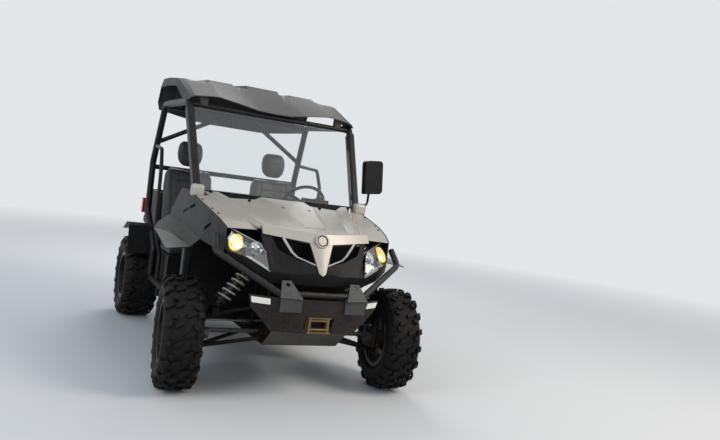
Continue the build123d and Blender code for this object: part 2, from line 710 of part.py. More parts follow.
def panels():
    """Hood, fender tops, side panels and flares as ruled skins from stations along Y."""
    rows = [[(x, y, z) for x, z in both(half)] for y, half in HOOD]
    hood = skin(rows, (0, 0, -SKIN_T))
    y, z, _ = COWL_BAR
    foot = block(around(HOOD_FOOT_X, 40), (y - 34, y - 2), (z, 1119))
    save("hood", (hood + pair(foot)) - cross_tube(COWL_BAR, FIT))
    edge = {row[0]: row[1:] for row in SIDE_PANEL}
    rows = []
    for y, x, z in FENDER_INNER:
        top_x, top_z, _, _ = edge[y]
        rows.append([(x, y, z), (top_x - SKIN_T - FIT, y, top_z - 2)])
    save("front_fenders", *pair(skin(rows, (0, 0, -SKIN_T))))
    rows = [[(top_x, y, top_z), (foot_x, y, foot_z)] for y, top_x, top_z, foot_x, foot_z in SIDE_PANEL]
    panel = skin(rows, (-SKIN_T, 0, 0))
    for y, z, end_y, end_z, height in SLOTS:
        corners = [(y, z), (end_y, end_z), (end_y, end_z - height), (y, z - height)]
        panel -= plate([(0, y, z) for y, z in corners], (2 * PILLAR_X, 0, 0))
    pad = block((PILLAR_X, 611), (-565, -505), (990, 1050))
    save("side_panels", *pair((panel + pad) - pillar(FIT)))
    rows = []
    for y, out_x, out_z, crease_x, crease_z in FLARE:
        _, _, foot_x, foot_z = edge[y]
        rows.append([(out_x, y, out_z), (crease_x, y, crease_z), (foot_x + FIT, y, foot_z + FLARE_LIFT)])
    save("fender_flares", *pair(skin(rows, (0, 0, -SKIN_T))))


# Nose bar from the middle out: (x, front top, foot, back top), each place as (y, z)
NOSE = [
    (0, (-1302, 992), (-1332, 930), (-1208, 1020)),
    (73, (-1285, 996), (-1314, 941), (-1208, 1017)),
    (340, (-1216, 1012), (-1256, 965), (-1205, 1013)),
]
NOSE_BACK_H = 9
NOSE_LIP = 12
TONGUE_T = 14


def nose_bar():
    """Light bar across the nose with its tongue down the middle."""
    rows = []
    for x, top, foot, back in NOSE:
        side = [top, foot, (foot[0] + NOSE_LIP, foot[1]), (back[0], back[1] - NOSE_BACK_H), back]
        rows.append(outline([(x, y, z) for y, z in side]))
    left = loft(rows, ruled=True)
    tongue = faceted([(0, -1336, 925), (-73, -1314, 941), (-20, -1386, 775), (0, -1392, 761),
                      (20, -1386, 775), (73, -1314, 941)], (0, TONGUE_T, 0))
    return left + flip(left) + tongue


# Roof at stations: (y, half row of (x, z) from the middle out)
ROOF = [
    (-214, [(0, 1748), (125, 1752), (140, 1750), (215, 1766), (232, 1770), (415, 1796),
            (450, 1794), (585, 1778), (614, 1766), (626, 1748)]),
    (-40, [(0, 1840), (125, 1842), (140, 1828), (215, 1838), (232, 1848), (415, 1863),
           (450, 1851), (585, 1844), (621, 1833), (634, 1758)]),
    (190, [(0, 1962), (125, 1962), (140, 1932), (215, 1932), (232, 1952), (415, 1952),
           (450, 1926), (585, 1930), (630, 1922), (644, 1872)]),
    (500, [(0, 1984), (125, 1984), (140, 1958), (215, 1958), (232, 1974), (415, 1974),
           (450, 1958), (585, 1964), (630, 1956), (646, 1896)]),
    (780, [(0, 1988), (125, 1988), (140, 1970), (215, 1970), (232, 1984), (415, 1984),
           (450, 1974), (585, 1980), (630, 1970), (646, 1902)]),
    (850, [(0, 1800), (125, 1800), (140, 1796), (215, 1796), (232, 1800), (415, 1800),
           (450, 1796), (585, 1792), (630, 1786), (646, 1780)]),
]
# Apron down the roof's rear, lower edge from the middle out: (x, z)
ROOF_APRON = [(0, 1670), (220, 1670), (330, 1678), (480, 1700), (630, 1724)]
ROOF_T = 5
ROOF_FOOT_X = 510
ROOF_FLOOR_Z = 1650


def roof():
    """Roof skin with a brow that dips in the middle, raised pads, and feet on the cage."""
    shell, filled = [], []
    for y, half in ROOF:
        top = both(half)
        reach = half[-1][0]
        low = [(x * (1 - ROOF_T / reach), z - ROOF_T) for x, z in top[::-1]]
        shell.append(outline([(x, y, z) for x, z in top + low]))
        floor = [(reach, ROOF_FLOOR_Z), (-reach, ROOF_FLOOR_Z)]
        filled.append(outline([(x, y, z) for x, z in top + floor]))
    under = loft(filled, ruled=True)
    rear, edge = ROOF[-1]
    # the apron's top edge ends inside the shell
    top = [(x, z + 2) for x, z in edge]
    apron = outline([(x, rear - 1, z) for x, z in both(ROOF_APRON) + both(top)[::-1]])
    shape = loft(shell, ruled=True) + extrude(apron, amount=ROOF_T, dir=(0, -1, 0))
    for place in (HEADER, REAR_HEADER):
        y, z, _ = place
        foot = block(around(ROOF_FOOT_X, 50), around(y, 40), (z, z + 300))
        shape += pair(foot & under)
        shape -= cross_tube(place, FIT)
    save("roof_panel", shape - cage_room())


def windshield():
    """Clear sheet between the front pillars, cut to meet them."""
    corners = [(-600, -527, 1150), (600, -527, 1150), (600, -196, 1700), (-600, -196, 1700)]
    lean = (Vector(*corners[3]) - Vector(*corners[0])).normalized()
    sheet = plate(corners, (0, -SKIN_T * lean.Z, SKIN_T * lean.Y))
    save("windshield", biggest(sheet - cage_room()))


def mirror_arm():
    """Mirror on a bent arm clamped to the driver's pillar."""
    head = Pos(774, -350, 1393) * Rot(0, -6, 12) * Box(165, 46, 250)
    stay = tube([(592, -470, 1178), (700, -440, 1180), (752, -362, 1200), (760, -350, 1290)], 9, 30)
    save("mirror", (head + stay) - pillar(FIT))


def rear_fenders():
    """Fenders over the rear wheels, held to the posts of the cage."""
    # (y, z, outer x)
    rows = []
    for y, z, out_x in ((690, 560, 772), (712, 780, 776), (740, 800, 776), (1100, 772, 738),
                        (1330, 700, 730)):
        rows.append([(FENDER_X, y, z), (out_x, y, z)])
    fender = skin(rows, (0, 6, -6))
    stay = block(around(CAGE_FOOT_X, 20), (620, 700), (600, 620))
    save("rear_fenders", *pair((fender + stay) - side_hoop(FIT)))


def cargo_bed():
    """Tilting bed on its hinge, with the tailgate on two pins and the tail lamps."""
    floor = BED_Z + BED_FLOOR_T
    wall_end = BED_REAR_Y - GATE_T - GATE_ROOM
    bed = block((-BED_X, BED_X), (BED_FRONT_Y, wall_end), (BED_Z, BED_TOP))
    inner = BED_X - BED_T
    bed -= block((-inner, inner), (BED_FRONT_Y + BED_T, wall_end + 1), (floor, BED_TOP + 1))
    pin_y, pin_z = GATE_HINGE
    cheek = block((BED_X - CHEEK_W, BED_X), (wall_end - 1, BED_REAR_Y), (floor, pin_z + 30))
    cheek += rod((inner - BED_T, pin_y, pin_z), (BED_X - 1, pin_y, pin_z), GATE_PIN_R)
    inside = RAIL_X - BEAM_W / 2 - 10
    lug = block((inside - 35, inside), around(HINGE_Y, 28), (HINGE_Z - 14, BED_Z + 1))
    room = rod((-RAIL_X, HINGE_Y, HINGE_Z), (RAIL_X, HINGE_Y, HINGE_Z), HINGE_R + FIT)
    save("cargo_bed", (bed + pair(cheek) + pair(lug)) - room)
    gate_x = BED_X - CHEEK_W - 5
    gate = block((-gate_x, gate_x), (BED_REAR_Y - GATE_T, BED_REAR_Y), (floor, BED_TOP))
    gate -= pair(rod((inner - BED_T - 1, pin_y, pin_z), (BED_X, pin_y, pin_z), GATE_PIN_R + FIT))
    save("tailgate", gate)
    save("tail_lamps", *pair(block((BED_X, BED_X + 35), (wall_end - 60, wall_end), (845, 975))))


def rear_end():
    """Silencer hung from the beams, rear bumper tube and hitch receiver."""
    y, z = SILENCER_Y, SILENCER_Z
    can = rod((-SILENCER_L / 2, y, z), (SILENCER_L / 2, y, z), SILENCER_R)
    can += rod((130, y, z), (130, BED_REAR_Y, z - 20), 20)
    hanger = block(around(RAIL_X, 20), around(y, 20), (z, BEAM_Z))
    save("silencer", can + pair(hanger))
    start = LAST_PORTAL_Y + BEAM_W
    far, bend_z = 1400, 500
    path = [(RAIL_X, start, bend_z), (RAIL_X, start + 90, bend_z), (RAIL_X + 50, far, bend_z),
            (-RAIL_X - 50, far, bend_z), (-RAIL_X, start + 90, bend_z), (-RAIL_X, start, bend_z)]
    half, bore = HITCH_W / 2, HITCH_BORE / 2
    hitch = block((-half, half), (FRAME_REAR_Y, HITCH_Y), (HITCH_Z - half, HITCH_Z + half))
    hitch -= block((-bore, bore), (FRAME_REAR_Y + 20, HITCH_Y + 1), (HITCH_Z - bore, HITCH_Z + bore))
    save("rear_bumper", tube(path, BUMPER_R, 40), hitch)


# Left lamp's front, round from its outer top corner, seen in place
LAMP = [(529, -1106, 985), (509, -1200, 846), (452, -1262, 834), (399, -1302, 814),
        (300, -1336, 762), (318, -1284, 862), (350, -1224, 908)]
LAMP_MIDDLE = (415, 875)
BEZEL = 1.05
BEZEL_T = 8
# Lower edge of the apron under the lamp, below the lamp's points 1 to 4: (y, z)
APRON = [(-1188, 788), (-1250, 766), (-1290, 738), (-1320, 700)]
# Fascia at levels: (z, half row of (x, y) from the middle out)
FASCIA = [
    (1000, [(0, -1290), (130, -1268), (300, -1222), (342, -1204)]),
    (940, [(0, -1318), (120, -1304), (290, -1262), (334, -1214)]),
    (862, [(0, -1352), (120, -1338), (290, -1292), (317, -1264)]),
    (762, [(0, -1378), (120, -1372), (250, -1350), (299, -1330)]),
    (700, [(0, -1366), (120, -1362), (250, -1340), (300, -1322)]),
]
# Left grille opening seen from the front: (x, z)
GRILLE = [(70, 932), (286, 952), (252, 884), (150, 842), (46, 818)]
GRILLE_STEP = 34
GRILLE_BAR = 4
# Lower fascia at levels, the same way
LOWER = [
    (632, [(0, -1452), (140, -1452), (272, -1424), (408, -1338)]),
    (560, [(0, -1444), (132, -1444), (262, -1408), (390, -1334)]),
    (500, [(0, -1420), (120, -1420), (236, -1392), (330, -1350)]),
    (428, [(0, -1388), (110, -1388), (196, -1372), (262, -1350)]),
]


def level_skin(levels):
    """Skin through level sections, its thickness towards the rear."""
    sections = []
    for z, half in levels:
        row = [(x, y, z) for x, y in both(half)]
        sections.append(outline(row + moved(row, (0, SKIN_T, 0))[::-1]))
    return loft(sections, ruled=True)


def lamp_ring(scale):
    """The lamp's outline, grown about its middle."""
    x0, z0 = LAMP_MIDDLE
    return [(x0 + (x - x0) * scale, y, z0 + (z - z0) * scale) for x, y, z in LAMP]


def lamp_bezel():
    """Black tray round and behind the left lamp, with the apron below it."""
    ring = lamp_ring(BEZEL)
    tray = faceted(moved(ring, (0, 4, 0)), (0, LAMP_T + BEZEL_T, 0))
    tray -= faceted(moved(lamp_ring(1 + FIT / 100), (0, -20, 0)), (0, LAMP_T + 21, 0))
    rows = []
    for (x, y, z), (foot_y, foot_z) in zip(ring[1:5], APRON):
        rows.append([(x, y + 6, z + 1), (x, foot_y, foot_z)])
    return tray + skin(rows, (0, SKIN_T, 0))


def face():
    """Fascia with its lamp trays, nose bar, grille, trim, headlights and the radiator behind."""
    nose = nose_bar()
    save("nose_bar", nose)
    save("headlights", *pair(faceted(LAMP, (0, LAMP_T, 0))))
    front, back = RADIATOR_Y
    save("radiator", block((-240, 240), RADIATOR_Y, (STRUT_Z[1] + 20, 935)))
    fascia = level_skin(FASCIA)
    rib = block(around(STRUT_X, 20), (-1362, front), (705, 735))
    hole = plate([(x, -1500, z) for x, z in GRILLE], (0, 400, 0))
    joined = (fascia - pair(hole)) + pair(rib) + pair(lamp_bezel())
    save("front_fascia", biggest(joined - nose))
    xs, zs = zip(*GRILLE)
    bars = []
    for x in range(int(min(xs)), int(max(xs)) - GRILLE_STEP, GRILLE_STEP):
        bars.append(block((x, x + GRILLE_BAR), (front - GRILLE_BAR, front), (min(zs), max(zs) - 20)))
    for z in range(int(min(zs)), int(max(zs)) - GRILLE_STEP, GRILLE_STEP):
        high = (z, z + GRILLE_BAR)
        bars.append(block((min(xs), max(xs) - GRILLE_STEP), (front - GRILLE_BAR, front), high))
    save("grille", *pair(bars[0] + bars[1:]))


# Bracket plate against the bumper's front, as (x, place up its slope)
BRACKET = [(242, 73), (186, 75), (136, -52), (270, -44)]
BRACKET_HOLE = (210, 45)
BRACKET_FOOT_X = (134, 262)
BRACKET_FOOT_Z = (560, 650)


def bumper_path():
    """Corners of the bumper tube, from end to end."""
    y, z = BUMPER_FRONT
    half = [(255, y, z), (588, -1206, 838), (572, -1128, 925)]
    return [(-x, y, z) for x, y, z in half[::-1]] + half


def bracket():
    """Left tow bracket, leaning back over the bumper tube, and its foot down to the fascia."""
    y, z = BUMPER_FRONT
    lean = math.radians(45)
    out = Vector(0, -math.cos(lean), math.sin(lean))
    face = Plane(origin=Vector(0, y, z) + out * (BUMPER_R + FIT), x_dir=(1, 0, 0), z_dir=out)
    flat = make_face(Polyline(*BRACKET, close=True)) - Pos(*BRACKET_HOLE) * Circle(TOW_HOLE_R)
    shape = extrude(face * flat, amount=BRACKET_T)
    front = LOWER[0][1][1][1] - FIT
    return shape + block(BRACKET_FOOT_X, (front - BRACKET_T, front), BRACKET_FOOT_Z)


def bumper():
    """Bumper tube with its brackets, lower fascia, marker lamps, winch and fairlead."""
    bar = tube(bumper_path(), BUMPER_R, BUMPER_BEND)
    save("front_bumper", bar)
    save("bumper_brackets", *pair(bracket()))
    lower = level_skin(LOWER)
    mouth = (438, 530)
    foot = block(around(STRUT_X, BEAM_W), (STRUT_END_Y - 9, STRUT_END_Y), STRUT_Z)
    lower = lower - block((-88, 88), (-1600, -1200), mouth) + pair(foot)
    save("lower_fascia", lower - tube(bumper_path(), BUMPER_R + FIT, BUMPER_BEND))
    rows = []
    (high, top), (low, bottom) = LOWER[0], LOWER[1]
    for share in (0.15, 0.62):
        z = high + (low - high) * share
        ends = [[a + (b - a) * share for a, b in zip(top[k], bottom[k])] for k in (2, 3)]
        row = []
        for along in (0.25, 0.94):
            x, y = [a + (b - a) * along for a, b in zip(*ends)]
            row.append((x, y - FIT, z))
        rows.append(row)
    save("marker_lamps", *pair(skin(rows, (0, -10, 0))))
    drum = rod((-110, DRUM_Y, DRUM_Z), (110, DRUM_Y, DRUM_Z), DRUM_R)
    base = block((-140, 140), around(DRUM_Y, 80), (STRUT_Z[0] - 12, STRUT_Z[0]))
    end = block((98, 110), around(DRUM_Y, 50), (DRUM_Z - 30, STRUT_Z[0] - 6))
    front = DRUM_Y - DRUM_R
    nose = block((-72, 72), (front - 10, front + 10), around(DRUM_Z, 30))
    save("winch", drum + base + pair(end) + nose)
    plate_y = front - 35
    roller_y = plate_y - 15
    lead = block((-72, 72), (plate_y, plate_y + 6), mouth)
    lead -= block((-47, 47), (plate_y - 1, plate_y + 7), around(DRUM_Z, 38))
    lead += pair(block((60, 72), (plate_y + 5, front - 10), around(DRUM_Z, 30)))
    for z in mouth:
        inward = z + 8 if z == mouth[0] else z - 8
        lead += block((-72, 72), (roller_y - 12, plate_y + 1), sorted((z, inward)))
    lead += pair(rod((57, roller_y, mouth[0] + 4), (57, roller_y, mouth[1] - 4), 9))
    for z in (mouth[0] + 20, mouth[1] - 20):
        lead += rod((-57, roller_y, z), (57, roller_y, z), 7)
    save("fairlead", lead)


if __name__ == "__main__":
    cage()
    frame()
    subframes()
    suspension()
    wheels()
    drive()
    steering()
    controls()
    tub()
    seats()
    panels()
    roof()
    windshield()
    mirror_arm()
    rear_fenders()
    cargo_bed()
    rear_end()
    face()
    bumper()
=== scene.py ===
# %% [markdown]
# # An open off-road vehicle, dressed in Blender
# The solids come from the CAD step, already in their places, in metres. The front of the vehicle
# looks along -Y, its driver sits on the +X side and the ground is at Z = 0. This lesson rounds the
# moulded edges, gives each part a finish, and models what a plain solid can't show: lugs, coils,
# lamps, seats.

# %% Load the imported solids
import bpy
import bmesh
import json
import math
from mathutils import Matrix, Vector
from mathutils.bvhtree import BVHTree


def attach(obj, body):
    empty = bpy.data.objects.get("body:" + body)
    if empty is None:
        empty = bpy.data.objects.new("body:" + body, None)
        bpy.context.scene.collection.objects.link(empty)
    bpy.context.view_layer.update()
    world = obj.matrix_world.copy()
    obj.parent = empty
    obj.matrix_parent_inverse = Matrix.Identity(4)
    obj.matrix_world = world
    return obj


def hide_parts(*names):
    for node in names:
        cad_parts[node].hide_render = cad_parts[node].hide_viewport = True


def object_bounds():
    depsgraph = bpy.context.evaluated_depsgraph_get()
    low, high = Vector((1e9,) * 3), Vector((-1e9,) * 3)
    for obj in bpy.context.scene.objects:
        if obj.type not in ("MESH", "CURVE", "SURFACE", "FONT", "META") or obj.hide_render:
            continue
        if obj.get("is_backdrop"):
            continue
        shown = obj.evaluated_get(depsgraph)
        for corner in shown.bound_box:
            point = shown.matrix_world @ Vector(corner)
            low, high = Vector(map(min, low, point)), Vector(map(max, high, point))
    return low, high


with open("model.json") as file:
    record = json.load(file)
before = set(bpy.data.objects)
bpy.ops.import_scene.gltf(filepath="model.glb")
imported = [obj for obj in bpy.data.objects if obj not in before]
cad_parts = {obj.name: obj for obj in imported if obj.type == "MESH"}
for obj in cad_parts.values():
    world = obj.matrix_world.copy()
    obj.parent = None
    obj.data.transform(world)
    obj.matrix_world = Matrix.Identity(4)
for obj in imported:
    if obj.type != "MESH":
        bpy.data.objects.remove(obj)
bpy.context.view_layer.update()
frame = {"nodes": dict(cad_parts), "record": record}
BODY_OF = {node: body for body, nodes in frame["record"]["behaviour"]["bodies"].items() for node in nodes}

# %% [markdown]
# ## The camera
# The picture was taken from the front, on the vehicle's right, at head height, and the camera was
# tilted a little. A camera's matrix holds its right, up and backward directions as columns, so the
# three angles are turned into those directions.

# %% Camera
AZIMUTH, ELEVATION, ROLL = (math.radians(a) for a in (-26.885, 2.172, 7.508))
EYE = Vector((-1.6295, -4.9776, 1.2605))
back = Vector((math.sin(AZIMUTH) * math.cos(ELEVATION), -math.cos(AZIMUTH) * math.cos(ELEVATION),
               math.sin(ELEVATION)))
level = Vector((0, 0, 1)).cross(back).normalized()
upright = back.cross(level)
right = level * math.cos(ROLL) + upright * math.sin(ROLL)
up = back.cross(right)
lens = bpy.data.cameras.new("camera")
lens.sensor_width = 36
lens.lens = 34.4955
camera = bpy.data.objects.new("camera", lens)
camera.matrix_world = Matrix((right, up, back)).transposed().to_4x4()
camera.location = EYE
bpy.context.scene.collection.objects.link(camera)
bpy.context.scene.camera = camera
bpy.context.scene.view_settings.view_transform = "Standard"
print("camera at", EYE[:], "lens", lens.lens, "mm")

# %% [markdown]
# ## Colours and nodes
# Colours are picked as they look on a screen, as sRGB hex values, and the shader wants linear
# light. Materials are trees of nodes, and one helper adds a node with its settings and its links.

# %% Helpers for materials


def linear(code):
    """An sRGB hex colour as linear red, green, blue and alpha."""
    parts = [int(code[i:i + 2], 16) / 255 for i in (1, 3, 5)]
    return [p / 12.92 if p <= 0.04045 else ((p + 0.055) / 1.055) ** 2.4 for p in parts] + [1.0]


def add(material, kind, settings=None, inputs=None):
    """Adds a node. An input takes a number, a hex colour or a pair of (node, output)."""
    node = material.node_tree.nodes.new("ShaderNode" + kind)
    for name, value in (settings or {}).items():
        setattr(node, name, value)
    for name, value in (inputs or {}).items():
        if isinstance(value, tuple) and isinstance(value[0], bpy.types.Node):
            material.node_tree.links.new(value[0].outputs[value[1]], node.inputs[name])
        elif isinstance(value, str):
            node.inputs[name].default_value = linear(value)
        else:
            node.inputs[name].default_value = value
    return node


def blank(name):
    """A material with an empty tree."""
    material = bpy.data.materials.new(name)
    material.use_nodes = True
    material.node_tree.nodes.clear()
    return material


print("mid grey is", round(linear("#808080")[0], 3), "in linear light")

# %% [markdown]
# ## The studio
# A pale floor that fades into a pale backdrop, so that no horizon shows. Only what the camera,
# a reflection or a glass sees of the backdrop is that pale: the light on the vehicle comes from a
# dimmer sky and three large soft lamps, set so that a colour renders about as it is written.

# %% Floor, sky and lamps
BACKDROP = "#E4E7EA"
SEEN = ("Is Camera Ray", "Is Glossy Ray", "Is Transmission Ray")
floor_finish = blank("studio floor")
place = add(floor_finish, "TexCoord")
far = add(floor_finish, "VectorMath", {"operation": "LENGTH"}, {0: (place, "Object")})
fade = add(floor_finish, "MapRange", {}, {"Value": (far, "Value"), "From Min": 3.5, "From Max": 12.0})
matt = add(floor_finish, "BsdfDiffuse", {}, {"Color": "#D5D6D6"})
glow = add(floor_finish, "Emission", {}, {"Color": BACKDROP})
mixed = add(floor_finish, "MixShader", {},
            {"Fac": (fade, "Result"), 1: (matt, "BSDF"), 2: (glow, "Emission")})
add(floor_finish, "OutputMaterial", {}, {"Surface": (mixed, "Shader")})
bm = bmesh.new()
bmesh.ops.create_circle(bm, cap_ends=True, segments=64, radius=60)
mesh = bpy.data.meshes.new("floor")
bm.to_mesh(mesh)
bm.free()
floor = bpy.data.objects.new("floor", mesh)
mesh.materials.append(floor_finish)
bpy.context.scene.collection.objects.link(floor)
floor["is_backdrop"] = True

world = bpy.data.worlds.new("sky")
bpy.context.scene.world = world
world.use_nodes = True
world.node_tree.nodes.clear()
path = add(world, "LightPath")
seen = add(world, "Math", {"operation": "ADD"}, {0: (path, SEEN[0]), 1: (path, SEEN[1])})
seen = add(world, "Math", {"operation": "ADD", "use_clamp": True}, {0: (seen, "Value"), 1: (path, SEEN[2])})
sky = add(world, "Background", {}, {"Color": "#DDE6F0", "Strength": 0.62})
pale = add(world, "Background", {}, {"Color": BACKDROP, "Strength": 1.0})
both = add(world, "MixShader", {},
           {"Fac": (seen, "Value"), 1: (sky, "Background"), 2: (pale, "Background")})
add(world, "OutputWorld", {}, {"Surface": (both, "Shader")})

# (name, place, size, watts, colour)
LAMPS = [
    ("key lamp", (3.8, -4.2, 4.6), 2.6, 205, "#FFF4E6"),
    ("fill lamp", (-4.8, -3.6, 3.4), 3.0, 125, "#EAF2FF"),
    ("rear lamp", (1.5, 5.2, 4.6), 3.0, 170, "#FFFFFF"),
]
for name, spot, size, watts, tint in LAMPS:
    light = bpy.data.lights.new(name, "AREA")
    light.size = size
    light.energy = watts
    light.color = linear(tint)[:3]
    lamp = bpy.data.objects.new(name, light)
    lamp.location = spot
    lamp.rotation_euler = (Vector((0, 0, 0.8)) - Vector(spot)).to_track_quat("-Z", "Y").to_euler()
    bpy.context.scene.collection.objects.link(lamp)
print("lamps:", [row[0] for row in LAMPS])

# %% [markdown]
# ## How a used surface is built up
# Every outside surface of a working vehicle shows the same few things: a colour that varies a
# little, a grain from the mould or the spray gun, dust lying on what faces up, and mud thrown up
# from below. One recipe mixes them, and each finish below gives it its own values. Patterns read
# Object coordinates, which stay with a piece when it moves, and a scale is one over a real size.

# %% The recipe for painted, moulded and cast surfaces
MUD = "#5E4A36"
DUST = "#8F8778"
MM = 0.001


def used(name, colour, second, roughness, metallic=0.0, coat=0.0, grain=1.0, relief=0.05, dust=0.2,
         mud=0.5, mud_top=0.75, patch=120, gloss=0.5):
    """Finish with colour variation, grain, dust on top and mud low down. Sizes are millimetres."""
    m = blank(name)
    at = add(m, "TexCoord")
    cloud = add(m, "TexNoise", {}, {"Vector": (at, "Object"), "Scale": 1 / (patch * MM), "Detail": 6.0})
    tone = add(m, "MapRange", {}, {"Value": (cloud, "Fac"), "From Min": 0.35, "From Max": 0.65})
    base = add(m, "MixRGB", {}, {"Fac": (tone, "Result"), "Color1": colour, "Color2": second})
    # dust lies where the surface faces up, in patches
    facing = add(m, "SeparateXYZ", {}, {"Vector": (at, "Normal")})
    up_side = add(m, "MapRange", {}, {"Value": (facing, "Z"), "From Min": 0.2, "From Max": 1.0,
                                      "To Max": dust})
    fine = add(m, "TexNoise", {}, {"Vector": (at, "Object"), "Scale": 1 / (24 * MM), "Detail": 8.0})
    patches = add(m, "MapRange", {}, {"Value": (fine, "Fac"), "From Min": 0.38, "From Max": 0.62})
    dusty = add(m, "Math", {"operation": "MULTIPLY"}, {0: (up_side, "Result"), 1: (patches, "Result")})
    powdered = add(m, "MixRGB", {}, {"Fac": (dusty, "Value"), "Color1": (base, "Color"), "Color2": DUST})
    # mud fades out upwards
    height = add(m, "SeparateXYZ", {}, {"Vector": (at, "Object")})
    low = add(m, "MapRange", {}, {"Value": (height, "Z"), "From Min": mud_top, "From Max": 0.15,
                                  "To Max": mud})
    spots = add(m, "MapRange", {}, {"Value": (fine, "Fac"), "From Min": 0.46, "From Max": 0.58})
    muddy = add(m, "Math", {"operation": "MULTIPLY"}, {0: (low, "Result"), 1: (spots, "Result")})
    outside = add(m, "MixRGB", {}, {"Fac": (muddy, "Value"), "Color1": (powdered, "Color"), "Color2": MUD})
    dirt = add(m, "Math", {"operation": "MAXIMUM"}, {0: (muddy, "Value"), 1: (dusty, "Value")})
    rough = add(m, "MapRange", {}, {"Value": (dirt, "Value"), "To Min": roughness, "To Max": 0.95})
    bare = add(m, "MapRange", {}, {"Value": (dirt, "Value"), "To Min": metallic, "To Max": 0.0})
    grit = add(m, "TexNoise", {}, {"Vector": (at, "Object"), "Scale": 1 / (grain * MM), "Detail": 2.0})
    bump = add(m, "Bump", {}, {"Height": (grit, "Fac"), "Distance": relief * MM, "Strength": 0.6})
    crust = add(m, "Bump", {}, {"Height": (muddy, "Value"), "Distance": 0.8 * MM, "Strength": 0.5,
                                "Normal": (bump, "Normal")})
    shader = add(m, "BsdfPrincipled", {}, {
        "Base Color": (outside, "Color"), "Metallic": (bare, "Result"), "Roughness": (rough, "Result"),
        "Normal": (crust, "Normal"), "Specular IOR Level": gloss, "Coat Weight": coat,
        "Coat Roughness": 0.12})
    add(m, "OutputMaterial", {}, {"Surface": (shader, "BSDF")})
    return m


print("recipe ready; mud", MUD, "dust", DUST)

# %% [markdown]
# ## Paints and plastics
# - Silver body panels: polypropylene moulded in colour and sprayed with a metallic basecoat. The
#   flakes give a soft sheen, the clear coat a sharper one over it.
# - Grey and black trim: bare polypropylene from an etched mould, so it is matt with a fine grain.
# - Tubes and brackets: steel with powder coat, satin, with the slight orange peel of molten powder.

# %% Body finishes
silver_panel = used("metallic basecoat on polypropylene", "#A8A398", "#B0ABA0", 0.42, metallic=0.3,
                    coat=0.12, grain=0.9, relief=0.03, dust=0.12, mud=0.05, patch=260)
grey_trim = used("grey moulded polypropylene", "#242625", "#2C2E2C", 0.55, grain=1.1, relief=0.08,
                 dust=0.12, mud=0.2, mud_top=1.0, gloss=0.3)
flare_trim = used("mid grey moulded polypropylene", "#5C5C59", "#656460", 0.5, grain=1.1, relief=0.08,
                  dust=0.15, mud=0.2, mud_top=1.0)
black_trim = used("black moulded polypropylene", "#0A0A0B", "#0F0F10", 0.5, grain=1.2, relief=0.06,
                  dust=0.05, mud=0.12, gloss=0.2)
brown_trim = used("sun-bleached black polypropylene", "#1F1B18", "#2A2420", 0.6, grain=1.2, relief=0.1,
                  dust=0.15, mud=0.25, mud_top=0.8, gloss=0.25)
roof_trim = used("roof of moulded polyethylene", "#2D2D2D", "#363534", 0.55, grain=1.6, relief=0.1,
                 dust=0.15, mud=0.0, patch=300, gloss=0.3)
# cage tubes and dampers: black powder coat, its black darkened further as painted shade
cage_coat_and_shade = used("black powder coat on tube, darkened as painted shade", "#0F1012", "#141517", 0.4, coat=0.03, grain=1.4,
                 relief=0.03, dust=0.06, mud=0.05, gloss=0.25)
# frame and arms: black powder coat with real mud, its black darkened further as painted shade
frame_coat_and_shade = used("muddy powder coat on frame, darkened as painted shade", "#090909", "#0D0D0D", 0.55, grain=1.4, relief=0.04,
                  dust=0.05, mud=0.15, mud_top=0.5, gloss=0.15)
bumper_coat = used("worn powder coat on bumper", "#121110", "#191716", 0.42, coat=0.02, grain=1.4,
                   relief=0.03, dust=0.12, mud=0.15, mud_top=0.7, gloss=0.3)
bracket_coat = used("grey powder coat on bracket plate", "#323233", "#3B3B3B", 0.5, grain=1.4,
                    relief=0.04, dust=0.15, mud=0.2, mud_top=0.7)
print("body finishes:", silver_panel.name, "and nine more")

# %% [markdown]
# ## Metals
# - Cast aluminium housings keep the sand's grain and go dull.
# - Rolled steel for the rack and the silencer shows its brushed or scaled skin.
# - The fairlead is zinc plated and yellow passivated, which gives it its gold look.
# A metal keeps the default IOR: its colour does the work.

# %% Metal finishes
cast_alloy = used("cast aluminium", "#4A4A48", "#585755", 0.55, metallic=0.85, grain=0.8, relief=0.15,
                  dust=0.2, mud=0.3, mud_top=0.7)
dark_alloy = used("black painted alloy wheel", "#202124", "#292A2C", 0.34, metallic=0.4, coat=0.2,
                  grain=1.2, relief=0.03, dust=0.2, mud=0.3, mud_top=0.5)
cast_iron = used("cast iron", "#1F1E1D", "#282624", 0.6, metallic=0.6, grain=0.9, relief=0.2,
                 dust=0.2, mud=0.3, mud_top=0.7)
bare_steel = used("ground steel", "#8C8D8E", "#9A9B9B", 0.3, metallic=1.0, grain=0.5, relief=0.02,
                  dust=0.2, mud=0.5)
pipe_steel = used("heat dulled steel", "#4A453F", "#5B5148", 0.5, metallic=0.9, grain=0.8, relief=0.06,
                  dust=0.3, mud=0.5, mud_top=0.9)
gold_zinc = used("yellow passivated zinc", "#6E5C38", "#82704A", 0.48, metallic=0.85, grain=0.8,
                 relief=0.03, dust=0.25, mud=0.35)
spring_coat = used("beige powder coat on spring", "#A9A08D", "#B9B09C", 0.4, coat=0.1, grain=1.0,
                   relief=0.02, dust=0.15, mud=0.25, mud_top=0.9)
smoked_chrome = used("smoked metallised reflector", "#6E6E6C", "#7A7A78", 0.22, metallic=1.0, grain=3.0,
                     relief=0.02, dust=0.0, mud=0.0)
chrome = used("vacuum metallised reflector", "#D9DCDF", "#E2E4E6", 0.1, metallic=1.0, grain=3.0,
              relief=0.02, dust=0.0, mud=0.0)
bright_trim = used("satin chrome trim", "#B4B1AB", "#C0BDB6", 0.38, metallic=0.6, grain=1.0,
                   relief=0.01, dust=0.1, mud=0.05)
print("metal finishes:", cast_alloy.name, "and nine more")

# %% [markdown]
# ## Glass and lamp plastics
# The windshield and the lamp lenses are polycarbonate, clear with an IOR of 1.58. Light goes
# through them, so the shader's transmission is full. The amber and red parts are dyed, and the
# amber one glows a little because its bulb is lit.

# %% Clear and lit finishes


